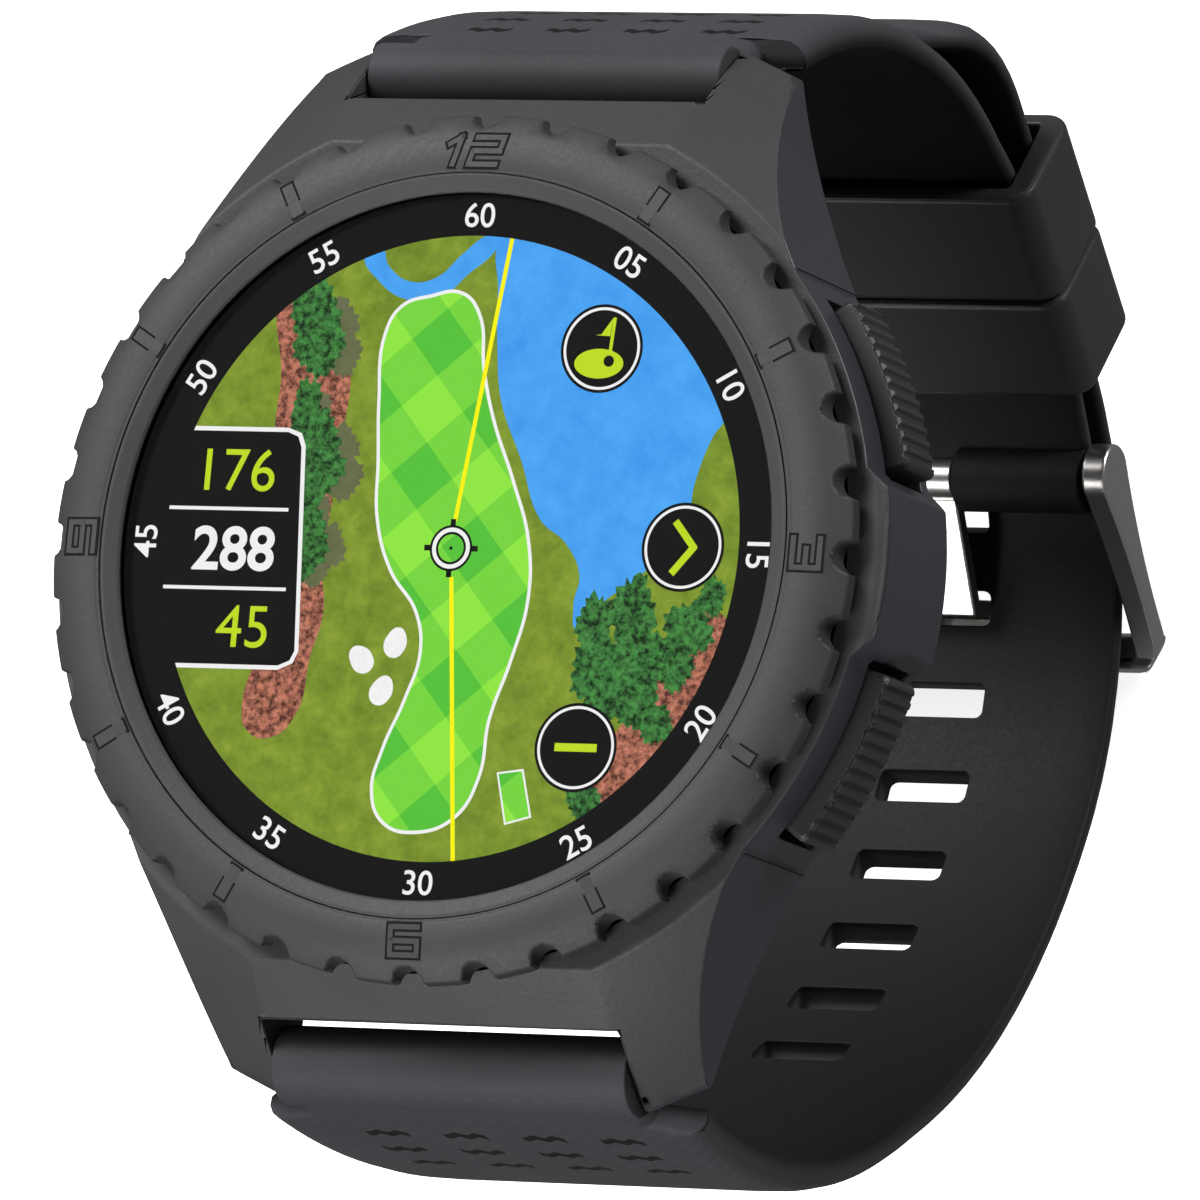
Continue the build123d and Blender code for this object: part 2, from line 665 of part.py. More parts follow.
# ---------------------------------------------------------------- strap
BARREL_RADIUS = 1.9
BUCKLE_WRAP = 1.95
TIP_RADIUS = 4.5
TIP_TOP_Z = -23.2             # top of the tail's rounded tip
NOTCH_HALF = 2.9              # cut-out that lets the tongue reach the buckle bar


def width_profile():
    """Front outline of a strap half, for use in a BuildLine: neck, shoulder, taper, even width."""
    right = Polyline((0, 12), (NECK_HALF, 12), (NECK_HALF, SHOULDER_Z),
                     (SHOULDER_HALF, SHOULDER_Z), (BUCKLE_HALF, TAPER_END_Z),
                     (BUCKLE_HALF, -70), (0, -70))
    mirror(right, about=Plane.YZ)


with BuildPart() as long_strap:
    with BuildSketch(Plane.YZ):
        with BuildLine():
            draw_band(LONG_ARCS, LONG_THICKNESS)
        make_face()
        with Locations((-BAR_Y, BAR_Z)):
            Circle(BARREL_RADIUS)
    extrude(amount=SHOULDER_HALF, both=True)
    with BuildSketch(Plane.XZ.offset(-50)):
        with BuildLine():
            width_profile()
        make_face()
    extrude(amount=100, mode=Mode.INTERSECT)
    # The tail beside 12 o'clock keeps the buckle's width and ends in a rounded tip.
    with BuildSketch(Plane.XZ.offset(-50)):
        Rectangle(40, 120)
        with BuildSketch(mode=Mode.PRIVATE) as tail_front:
            with Locations((0, TIP_TOP_Z - 30)):
                RectangleRounded(2 * BUCKLE_HALF, 60, TIP_RADIUS)
        add(tail_front.sketch, mode=Mode.SUBTRACT)
    extrude(amount=25, mode=Mode.SUBTRACT)
    # Bore for the spring bar.
    with BuildSketch(Plane.YZ):
        with Locations((-BAR_Y, BAR_Z)):
            Circle(TUBE_RADIUS + RUNNING_GAP)
    extrude(amount=SHOULDER_HALF, both=True, mode=Mode.SUBTRACT)
    # Slots for the tongue.
    for step in range(-SLOTS_TO_WRIST, SLOTS_TO_TIP + 1):
        with BuildSketch(surface_plane(*station(LONG_ARCS, TONGUE_STATION + step * SLOT_PITCH))):
            RectangleRounded(SLOT_WIDTH, SLOT_LENGTH, 0.5)
        extrude(amount=LONG_THICKNESS + 1, both=True, mode=Mode.SUBTRACT)
finish(long_strap.part, "long_strap")

with BuildPart() as short_strap:
    with BuildSketch(Plane.YZ):
        with BuildLine():
            draw_band(SHORT_ARCS, SHORT_THICKNESS)
        make_face()
        with Locations((BAR_Y, BAR_Z)):
            Circle(BARREL_RADIUS)
        with Locations((BUCKLE_Y, BUCKLE_Z)):
            Circle(BUCKLE_WRAP)
    extrude(amount=SHOULDER_HALF, both=True)
    with BuildSketch(Plane.XZ.offset(-50)):
        with BuildLine():
            width_profile()
        make_face()
    extrude(amount=50, mode=Mode.INTERSECT)
    with BuildSketch(Plane.YZ):
        with Locations((BAR_Y, BAR_Z)):
            Circle(TUBE_RADIUS + RUNNING_GAP)
        with Locations((BUCKLE_Y, BUCKLE_Z)):
            Circle(BUCKLE_TUBE_RADIUS + RUNNING_GAP)
    extrude(amount=SHOULDER_HALF, both=True, mode=Mode.SUBTRACT)
    with BuildSketch(Plane.XY.offset(-60)):
        with Locations((0, 13)):
            Rectangle(2 * NOTCH_HALF, 10)
    extrude(amount=20, mode=Mode.SUBTRACT)
finish(short_strap.part, "short_strap")

# ---------------------------------------------------------------- keepers
KEEPER_HEADING = 50.0
KEEPER_INNER = 44.15           # cavity limits, measured from the origin across the keeper
KEEPER_OUTER = 50.0
KEEPER_WALL = 1.1
KEEPER_SIDE = 1.6
KEEPER_CAVITY_HALF = 11.2


def keeper(first, last):
    """Rounded rectangular loop between two distances along the keeper's axis."""
    along = (0, cos(radians(KEEPER_HEADING)), sin(radians(KEEPER_HEADING)))
    plane = Plane(origin=(0, 0, 0), x_dir=(1, 0, 0), z_dir=along)
    middle = (KEEPER_INNER + KEEPER_OUTER) / 2
    height = KEEPER_OUTER - KEEPER_INNER
    with BuildPart() as made:
        with BuildSketch(plane.offset(first)):
            with Locations((0, middle)):
                RectangleRounded(2 * (KEEPER_CAVITY_HALF + KEEPER_SIDE), height + 2 * KEEPER_WALL, 1.5)
        extrude(amount=last - first)
        chamfer(made.edges().filter_by(GeomType.LINE, reverse=True), 0.25)
        with BuildSketch(plane.offset(first)):
            with Locations((0, middle)):
                RectangleRounded(2 * KEEPER_CAVITY_HALF, height, 0.3)
        extrude(amount=last - first, mode=Mode.SUBTRACT)
    return made.part


finish(keeper(-21.8, -14.75), "keeper_fixed")
finish(keeper(-14.6, -6.8), "keeper_free")

# ---------------------------------------------------------------- buckle
FRAME_BAR = (6.3, -58.4)      # section centre of the frame's outer bar, (y, z)
FRAME_IN = 11.3               # arms lie between these distances from the middle
FRAME_OUT = 12.8
FRAME_CORNER = 2.6
TONGUE_HALF = 2.6
TONGUE_BARREL = 1.25
TONGUE_THICK = 1.0
NOTCH_TILT = 9.0             # follows the tongue's tip

frame_reach = ((FRAME_BAR[0] - BUCKLE_Y) ** 2 + (FRAME_BAR[1] - BUCKLE_Z) ** 2) ** 0.5
frame_along = (0, (FRAME_BAR[0] - BUCKLE_Y) / frame_reach, (FRAME_BAR[1] - BUCKLE_Z) / frame_reach)
# Side plane: x runs from the spring bar to the outer bar, y leaves the wrist.
frame_side = Plane(origin=(0, BUCKLE_Y, BUCKLE_Z), x_dir=frame_along, z_dir=(1, 0, 0))
# Plan plane: x is the watch's X, y runs from the spring bar to the outer bar.
frame_plan = Plane(origin=(0, BUCKLE_Y, BUCKLE_Z), x_dir=(1, 0, 0), z_dir=(0, -frame_along[2], frame_along[1]))

with BuildPart() as buckle_frame:
    with BuildSketch(frame_side):
        with BuildLine():
            outer_edge = ThreePointArc((0, 1.7), (4.5, 0.95), (frame_reach, 0.8))
            far_end = ThreePointArc(outer_edge @ 1, (frame_reach + 0.8, 0), (frame_reach, -0.8))
            inner_edge = ThreePointArc(far_end @ 1, (5.5, -0.95), (0, -1.7))
            ThreePointArc(inner_edge @ 1, (-2.3, 0), outer_edge @ 0)
        make_face()
    extrude(amount=FRAME_OUT, both=True)
    with BuildSketch(Plane.XZ.offset(-40)):
        Rectangle(2 * FRAME_IN, 160)
    extrude(amount=60, mode=Mode.SUBTRACT)
    with BuildSketch(Plane.YZ):
        with Locations(Location(FRAME_BAR, 5)):
            RectangleRounded(2.3, 1.5, 0.5)
    extrude(amount=FRAME_OUT, both=True)
    with BuildSketch(frame_plan.offset(-4)):
        with BuildSketch(mode=Mode.PRIVATE) as frame_outline:
            with Locations((0, frame_reach + 1.3 - 15)):
                RectangleRounded(2 * FRAME_OUT, 30, FRAME_CORNER)
        add(frame_outline.sketch)
    extrude(amount=8, mode=Mode.INTERSECT)
    # Notch the tongue's tip rests in.
    with BuildSketch(Plane.YZ):
        with Locations((FRAME_BAR[0] + 0.4, FRAME_BAR[1] - 0.98)):
            Rectangle(6, 2.1, rotation=NOTCH_TILT)
    extrude(amount=TONGUE_HALF + 0.3, both=True, mode=Mode.SUBTRACT)
    # Blind holes for the spring bar's pins.
    with BuildSketch(Plane.YZ):
        with Locations((BUCKLE_Y, BUCKLE_Z)):
            Circle(PIN_RADIUS + RUNNING_GAP)
    extrude(amount=FRAME_OUT - 0.4, both=True, mode=Mode.SUBTRACT)
finish(buckle_frame.part, "buckle_frame")

slot_y, slot_z, slot_heading = station(LONG_ARCS, TONGUE_STATION, LONG_THICKNESS / 2)
slot_out = (sin(radians(slot_heading)), -cos(radians(slot_heading)))
with BuildPart() as buckle_tongue:
    with BuildSketch(Plane.YZ):
        with BuildLine() as tongue_path:
            Polyline((BUCKLE_Y - 1.0, BUCKLE_Z - 0.3),
                     (slot_y - 2.1 * slot_out[0], slot_z - 2.1 * slot_out[1]),
                     (slot_y + 2.75 * slot_out[0], slot_z + 2.75 * slot_out[1]),
                     (FRAME_BAR[0] - 1.6, FRAME_BAR[1] - 0.85))
        trace(tongue_path.line, line_width=TONGUE_THICK)
        with Locations((BUCKLE_Y, BUCKLE_Z)):
            Circle(TONGUE_BARREL)
            Circle(BUCKLE_TUBE_RADIUS + RUNNING_GAP, mode=Mode.SUBTRACT)
    extrude(amount=TONGUE_HALF, both=True)
finish(buckle_tongue.part, "buckle_tongue")
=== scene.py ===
"""Looks of a golf GPS watch: finishes, soft strap, engraved bezel and the course map on its display."""

import json
import logging
import math
from dataclasses import dataclass, field
from enum import Enum

import bmesh
import bpy
from mathutils import Matrix, Vector

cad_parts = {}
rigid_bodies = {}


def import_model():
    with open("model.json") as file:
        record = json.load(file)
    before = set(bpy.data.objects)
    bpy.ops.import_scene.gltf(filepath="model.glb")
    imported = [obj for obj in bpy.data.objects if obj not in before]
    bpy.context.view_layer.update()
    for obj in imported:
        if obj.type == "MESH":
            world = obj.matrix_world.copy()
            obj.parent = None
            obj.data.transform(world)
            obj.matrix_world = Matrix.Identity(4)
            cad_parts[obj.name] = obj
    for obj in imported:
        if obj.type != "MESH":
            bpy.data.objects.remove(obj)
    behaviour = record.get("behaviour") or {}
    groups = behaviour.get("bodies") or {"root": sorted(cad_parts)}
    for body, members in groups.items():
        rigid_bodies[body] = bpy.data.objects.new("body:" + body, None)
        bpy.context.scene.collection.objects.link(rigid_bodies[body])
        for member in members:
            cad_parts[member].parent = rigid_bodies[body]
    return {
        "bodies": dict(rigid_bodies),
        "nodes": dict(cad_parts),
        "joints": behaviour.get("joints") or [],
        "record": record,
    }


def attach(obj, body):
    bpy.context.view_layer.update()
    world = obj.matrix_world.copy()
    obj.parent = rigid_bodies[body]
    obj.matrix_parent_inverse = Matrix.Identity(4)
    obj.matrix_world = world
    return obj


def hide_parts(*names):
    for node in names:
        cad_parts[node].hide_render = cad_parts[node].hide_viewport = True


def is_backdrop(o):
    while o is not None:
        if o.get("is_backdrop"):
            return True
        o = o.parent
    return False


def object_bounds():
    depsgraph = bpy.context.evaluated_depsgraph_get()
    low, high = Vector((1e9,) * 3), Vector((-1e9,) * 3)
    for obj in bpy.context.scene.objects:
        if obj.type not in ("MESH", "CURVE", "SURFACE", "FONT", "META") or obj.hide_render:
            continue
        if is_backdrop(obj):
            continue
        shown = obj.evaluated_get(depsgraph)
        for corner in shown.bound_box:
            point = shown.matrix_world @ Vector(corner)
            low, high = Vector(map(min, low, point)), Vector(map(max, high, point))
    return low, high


MM = 0.001
SHARP_ANGLE = math.radians(38)
FLAT_ANGLE = math.radians(0.2)
MERGE_DISTANCE = 0.002 * MM
DRAWING_MERGE = 0.0005
LOG = logging.getLogger("golf_watch")


def srgb(red: int, green: int, blue: int) -> tuple[float, float, float, float]:
    """Linear colour of three screen values.

    Args:
        red: Red from 0 to 255.
        green: Green from 0 to 255.
        blue: Blue from 0 to 255.

    Returns:
        Linear red, green, blue and an alpha of one.
    """
    values = []
    for value in (red, green, blue):
        share = value / 255
        values.append(share / 12.92 if share <= 0.04045 else ((share + 0.055) / 1.055) ** 2.4)
    return (values[0], values[1], values[2], 1.0)


# ---------------------------------------------------------------- shader groups


class GroupName(Enum):
    """Shared shader effects."""

    GRAIN = "moulded_grain"
    DRIFT = "tone_drift"
    BRUSH = "brushed_lines"
    DASHES = "strap_dashes"
    RIBS = "strap_ribs"
    FLECKS = "screen_flecks"


@dataclass
class ShaderGroups:
    """Builds each shared effect once, as a node group that puts out values and colours."""

    built: dict[GroupName, bpy.types.NodeTree] = field(default_factory=dict)

    def get(self, name: GroupName) -> bpy.types.NodeTree:
        """The group of that name, made on first use.

        Args:
            name: Which effect.

        Returns:
            The node tree of the group.
        """
        if name not in self.built:
            makers = {
                GroupName.GRAIN: self._grain,
                GroupName.DRIFT: self._drift,
                GroupName.BRUSH: self._brush,
                GroupName.DASHES: self._dashes,
                GroupName.RIBS: self._ribs,
                GroupName.FLECKS: self._flecks,
            }
            self.built[name] = makers[name]()
        return self.built[name]

    def _start(
        self, name: GroupName, inputs: list[tuple[str, str, object]], outputs: list[tuple[str, str]]
    ) -> tuple[bpy.types.NodeTree, bpy.types.Node, bpy.types.Node]:
        """An empty group with named sockets.

        Args:
            name: Which effect.
            inputs: Name, socket type and default of each input.
            outputs: Name and socket type of each output.

        Returns:
            The tree, its input node and its output node.
        """
        tree = bpy.data.node_groups.new(name.value, "ShaderNodeTree")
        for label, kind, default in inputs:
            socket = tree.interface.new_socket(label, in_out="INPUT", socket_type=kind)
            if default is not None:
                socket.default_value = default
        for label, kind in outputs:
            tree.interface.new_socket(label, in_out="OUTPUT", socket_type=kind)
        return tree, tree.nodes.new("NodeGroupInput"), tree.nodes.new("NodeGroupOutput")

    def _maths(
        self,
        tree: bpy.types.NodeTree,
        operation: str,
        first: object,
        second: object = None,
        third: object = None,
    ) -> bpy.types.NodeSocket:
        """One arithmetic step inside a group.

        Args:
            tree: The group.
            operation: Math node operation.
            first: Socket or number.
            second: Socket or number.
            third: Socket or number.

        Returns:
            The result's socket.
        """
        node = tree.nodes.new("ShaderNodeMath")
        node.operation = operation
        for index, value in enumerate((first, second, third)):
            if isinstance(value, bpy.types.NodeSocket):
                tree.links.new(value, node.inputs[index])
            elif value is not None:
                node.inputs[index].default_value = value
        return node.outputs[0]

    def _grain(self) -> bpy.types.NodeTree:
        """Fine moulded grain: two noises laid over each other.

        Returns:
            The group's node tree.
        """
        tree, source, sink = self._start(
            GroupName.GRAIN,
            [("Vector", "NodeSocketVector", None), ("Scale", "NodeSocketFloat", 4000.0)],
            [("Height", "NodeSocketFloat"), ("Mask", "NodeSocketFloat")],
        )
        fine = tree.nodes.new("ShaderNodeTexNoise")
        fine.inputs["Detail"].default_value = 2.0
        tree.links.new(source.outputs["Vector"], fine.inputs["Vector"])
        tree.links.new(source.outputs["Scale"], fine.inputs["Scale"])
        pits = tree.nodes.new("ShaderNodeTexVoronoi")
        tree.links.new(source.outputs["Vector"], pits.inputs["Vector"])
        tree.links.new(self._maths(tree, "MULTIPLY", source.outputs["Scale"], 0.6), pits.inputs["Scale"])
        pit_share = self._maths(tree, "MULTIPLY", pits.outputs["Distance"], 0.4)
        height = self._maths(tree, "MULTIPLY_ADD", fine.outputs["Fac"], 0.7, pit_share)
        tree.links.new(height, sink.inputs["Height"])
        mask = self._maths(tree, "SMOOTH_MIN", fine.outputs["Fac"], 0.9, 0.2)
        tree.links.new(mask, sink.inputs["Mask"])
        return tree

    def _drift(self) -> bpy.types.NodeTree:
        """Slow change of tone over the surface, as handling and moulding leave.

        Returns:
            The group's node tree.
        """
        tree, source, sink = self._start(
            GroupName.DRIFT,
            [
                ("Vector", "NodeSocketVector", None),
                ("Scale", "NodeSocketFloat", 120.0),
                ("Colour", "NodeSocketColor", (0.05, 0.05, 0.05, 1.0)),
                ("Light", "NodeSocketColor", (0.08, 0.08, 0.08, 1.0)),
            ],
            [("Colour", "NodeSocketColor"), ("Mask", "NodeSocketFloat")],
        )
        noise = tree.nodes.new("ShaderNodeTexNoise")
        noise.inputs["Detail"].default_value = 4.0
        tree.links.new(source.outputs["Vector"], noise.inputs["Vector"])
        tree.links.new(source.outputs["Scale"], noise.inputs["Scale"])
        mix = tree.nodes.new("ShaderNodeMix")
        mix.data_type = "RGBA"
        tree.links.new(noise.outputs["Fac"], mix.inputs["Factor"])
        tree.links.new(source.outputs["Colour"], mix.inputs[6])
        tree.links.new(source.outputs["Light"], mix.inputs[7])
        tree.links.new(mix.outputs[2], sink.inputs["Colour"])
        tree.links.new(noise.outputs["Fac"], sink.inputs["Mask"])
        return tree

    def _brush(self) -> bpy.types.NodeTree:
        """Long thin lines across X, as a satin brushed metal has.

        Returns:
            The group's node tree.
        """
        tree, source, sink = self._start(
            GroupName.BRUSH,
            [("Vector", "NodeSocketVector", None)],
            [("Height", "NodeSocketFloat"), ("Mask", "NodeSocketFloat")],
        )
        stretch = tree.nodes.new("ShaderNodeMapping")
        stretch.inputs["Scale"].default_value = (300.0, 9000.0, 9000.0)
        noise = tree.nodes.new("ShaderNodeTexNoise")
        noise.inputs["Scale"].default_value = 1.0
        noise.inputs["Detail"].default_value = 3.0
        tree.links.new(source.outputs["Vector"], stretch.inputs["Vector"])
        tree.links.new(stretch.outputs["Vector"], noise.inputs["Vector"])
        tree.links.new(noise.outputs["Fac"], sink.inputs["Height"])
        mask = self._maths(tree, "MULTIPLY_ADD", noise.outputs["Fac"], 0.5, 0.25)
        tree.links.new(mask, sink.inputs["Mask"])
        return tree

    def _dashes(self) -> bpy.types.NodeTree:
        """Rows of short recessed dashes with wavy edges.

        The vector holds X, length along the strap and depth below its outer side, in millimetres.

        Returns:
            The group's node tree.
        """
        tree, source, sink = self._start(
            GroupName.DASHES,
            [
                ("Vector", "NodeSocketVector", None),
                ("First", "NodeSocketFloat", 3.4),
                ("Last", "NodeSocketFloat", 13.0),
                ("Pitch", "NodeSocketFloat", 4.85),
                ("Row", "NodeSocketFloat", 3.2),
            ],
            [("Mask", "NodeSocketFloat")],
        )
        split = tree.nodes.new("ShaderNodeSeparateXYZ")
        tree.links.new(source.outputs["Vector"], split.inputs[0])
        across, along, depth = split.outputs
        cells_away = 40.0
        half_long, half_high, outer_depth, half_field = 0.27, 0.12, 0.3, 9.6
        gone = self._maths(tree, "SUBTRACT", along, source.outputs["First"])
        row = self._maths(tree, "DIVIDE", gone, source.outputs["Row"])
        odd = self._maths(tree, "MODULO", self._maths(tree, "FLOOR", row), 2.0)
        shift = self._maths(tree, "MULTIPLY_ADD", odd, 0.06, cells_away - 0.16)
        cell = self._maths(tree, "ADD", self._maths(tree, "DIVIDE", across, source.outputs["Pitch"]), shift)
        aside = self._maths(tree, "SUBTRACT", self._maths(tree, "FRACT", cell), 0.5)
        ripple = self._maths(tree, "SINE", self._maths(tree, "MULTIPLY", across, 5.2))
        wavy = self._maths(tree, "MULTIPLY_ADD", ripple, 0.06, self._maths(tree, "FRACT", row))
        above = self._maths(tree, "SUBTRACT", wavy, 0.5)
        limits = (
            ("LESS_THAN", self._maths(tree, "ABSOLUTE", aside), half_long),
            ("LESS_THAN", self._maths(tree, "ABSOLUTE", above), half_high),
            ("GREATER_THAN", along, source.outputs["First"]),
            ("LESS_THAN", along, source.outputs["Last"]),
            ("LESS_THAN", depth, outer_depth),
            ("LESS_THAN", self._maths(tree, "ABSOLUTE", across), half_field),
        )
        inside = 1.0
        for comparison, value, limit in limits:
            inside = self._maths(tree, "MULTIPLY", self._maths(tree, comparison, value, limit), inside)
        tree.links.new(inside, sink.inputs["Mask"])
        return tree

    def _ribs(self) -> bpy.types.NodeTree:
        """Fine wavy diagonal ribs on the strap's outer side.

        The vector holds X, length along the strap and depth below its outer side, in millimetres.

        Returns:
            The group's node tree.
        """
        tree, source, sink = self._start(
            GroupName.RIBS, [("Vector", "NodeSocketVector", None)], [("Height", "NodeSocketFloat")]
        )
        split = tree.nodes.new("ShaderNodeSeparateXYZ")
        tree.links.new(source.outputs["Vector"], split.inputs[0])
        wave = tree.nodes.new("ShaderNodeTexWave")
        wave.wave_type = "BANDS"
        wave.bands_direction = "DIAGONAL"
        wave.inputs["Scale"].default_value = 0.42
        wave.inputs["Distortion"].default_value = 1.6
        wave.inputs["Detail"].default_value = 1.0
        wave.inputs["Detail Scale"].default_value = 0.6
        tree.links.new(source.outputs["Vector"], wave.inputs["Vector"])
        outside = self._maths(tree, "LESS_THAN", split.outputs[2], 0.3)
        tree.links.new(self._maths(tree, "MULTIPLY", wave.outputs["Fac"], outside), sink.inputs["Height"])
        return tree

    def _flecks(self) -> bpy.types.NodeTree:
        """Two tones in small flecks, for turf, bark and leaves drawn on the screen.

        Returns:
            The group's node tree.
        """
        tree, source, sink = self._start(
            GroupName.FLECKS,
            [
                ("Vector", "NodeSocketVector", None),
                ("Scale", "NodeSocketFloat", 2000.0),
                ("Contrast", "NodeSocketFloat", 1.0),
                ("Dark", "NodeSocketColor", (0.1, 0.1, 0.1, 1.0)),
                ("Light", "NodeSocketColor", (0.3, 0.3, 0.3, 1.0)),
            ],
            [("Colour", "NodeSocketColor")],
        )
        noise = tree.nodes.new("ShaderNodeTexNoise")
        noise.inputs["Detail"].default_value = 5.0
        noise.inputs["Roughness"].default_value = 0.7
        tree.links.new(source.outputs["Vector"], noise.inputs["Vector"])
        tree.links.new(source.outputs["Scale"], noise.inputs["Scale"])
        centred = self._maths(tree, "SUBTRACT", noise.outputs["Fac"], 0.5)
        spread = self._maths(tree, "MULTIPLY_ADD", centred, source.outputs["Contrast"], 0.5)
        mix = tree.nodes.new("ShaderNodeMix")
        mix.data_type = "RGBA"
        mix.clamp_factor = True
        tree.links.new(spread, mix.inputs["Factor"])
        tree.links.new(source.outputs["Dark"], mix.inputs[6])
        tree.links.new(source.outputs["Light"], mix.inputs[7])
        tree.links.new(mix.outputs[2], sink.inputs["Colour"])
        return tree


# ---------------------------------------------------------------- finishes


@dataclass(frozen=True)
class MaterialDesk:
    """Shared helpers for writing one material's nodes."""

    groups: ShaderGroups

    def start(self, name: str) -> tuple[bpy.types.Material, bpy.types.NodeTree, bpy.types.Node]:
        """A new node material.

        Args:
            name: Its name.

        Returns:
            The material, its tree and its Principled shader.
        """
        material = bpy.data.materials.new(name)
        material.use_nodes = True
        return material, material.node_tree, material.node_tree.nodes["Principled BSDF"]

    def coordinates(self, tree: bpy.types.NodeTree) -> bpy.types.NodeSocket:
        """Object coordinates, in metres.

        Args:
            tree: The material's tree.

        Returns:
            The coordinates' socket.
        """
        return tree.nodes.new("ShaderNodeTexCoord").outputs["Object"]

    def group(
        self, tree: bpy.types.NodeTree, name: GroupName, vector: bpy.types.NodeSocket, **values: object
    ) -> bpy.types.Node:
        """Places a shared effect.

        Args:
            tree: The material's tree.
            name: Which effect.
            vector: Coordinates it reads.
            **values: Values of its other inputs, with their names.

        Returns:
            The group's node.
        """
        node = tree.nodes.new("ShaderNodeGroup")
        node.node_tree = self.groups.get(name)
        tree.links.new(vector, node.inputs["Vector"])
        for label, value in values.items():
            node.inputs[label].default_value = value
        return node

    def bump(
        self,
        tree: bpy.types.NodeTree,
        shader: bpy.types.Node,
        height: bpy.types.NodeSocket,
        depth: float,
        strength: float = 1.0,
        after: bpy.types.Node | None = None,
    ) -> bpy.types.Node:
        """Adds a bump to the shader's normal.

        Args:
            tree: The material's tree.
            shader: The Principled shader.
            height: Height from 0 to 1.
            depth: Real height of one, in metres.
            strength: How strong it is.
            after: An earlier bump that this one is laid over.

        Returns:
            The bump's node.
        """
        node = tree.nodes.new("ShaderNodeBump")
        node.inputs["Distance"].default_value = depth
        node.inputs["Strength"].default_value = strength
        tree.links.new(height, node.inputs["Height"])
        if after is not None:
            tree.links.new(after.outputs["Normal"], node.inputs["Normal"])
        tree.links.new(node.outputs["Normal"], shader.inputs["Normal"])
        return node


@dataclass(frozen=True)
class MouldedFinish:
    """A moulded plastic or rubber with grain and a slow drift of tone."""

    name: str
    dark: tuple[float, float, float, float]
    light: tuple[float, float, float, float]
    rough_low: float
    rough_high: float
    grain: float = 5200.0
    depth: float = 0.00002
    metallic: float = 0.0
    gloss: float = 0.5

    def make(self, desk: MaterialDesk) -> bpy.types.Material:
        """The material, made once.

        Args:
            desk: Material helpers.

        Returns:
            The Blender material.
        """
        if self.name in bpy.data.materials:
            return bpy.data.materials[self.name]
        material, tree, shader = desk.start(self.name)
        where = desk.coordinates(tree)
        drift = desk.group(tree, GroupName.DRIFT, where, Colour=self.dark, Light=self.light, Scale=160.0)
        grain = desk.group(tree, GroupName.GRAIN, where, Scale=self.grain)
        tree.links.new(drift.outputs["Colour"], shader.inputs["Base Color"])
        span = tree.nodes.new("ShaderNodeMapRange")
        span.inputs["To Min"].default_value = self.rough_low
        span.inputs["To Max"].default_value = self.rough_high
        tree.links.new(grain.outputs["Mask"], span.inputs["Value"])
        tree.links.new(span.outputs["Result"], shader.inputs["Roughness"])
        shader.inputs["Metallic"].default_value = self.metallic
        shader.inputs["Specular IOR Level"].default_value = self.gloss
        desk.bump(tree, shader, grain.outputs["Height"], self.depth, 0.5)
        return material


@dataclass(frozen=True)
class MetalFinish:
    """A metal, brushed or polished."""

    name: str
    colour: tuple[float, float, float, float]
    rough_low: float
    rough_high: float
    lines: float = 0.000004

    def make(self, desk: MaterialDesk) -> bpy.types.Material:
        """The material, made once.

        Args:
            desk: Material helpers.

        Returns:
            The Blender material.
        """
        if self.name in bpy.data.materials:
            return bpy.data.materials[self.name]
        material, tree, shader = desk.start(self.name)
        brush = desk.group(tree, GroupName.BRUSH, desk.coordinates(tree))
        shader.inputs["Base Color"].default_value = self.colour
        shader.inputs["Metallic"].default_value = 1.0
        span = tree.nodes.new("ShaderNodeMapRange")
        span.inputs["To Min"].default_value = self.rough_low
        span.inputs["To Max"].default_value = self.rough_high
        tree.links.new(brush.outputs["Mask"], span.inputs["Value"])
        tree.links.new(span.outputs["Result"], shader.inputs["Roughness"])
        desk.bump(tree, shader, brush.outputs["Height"], self.lines, 0.4)
        return material


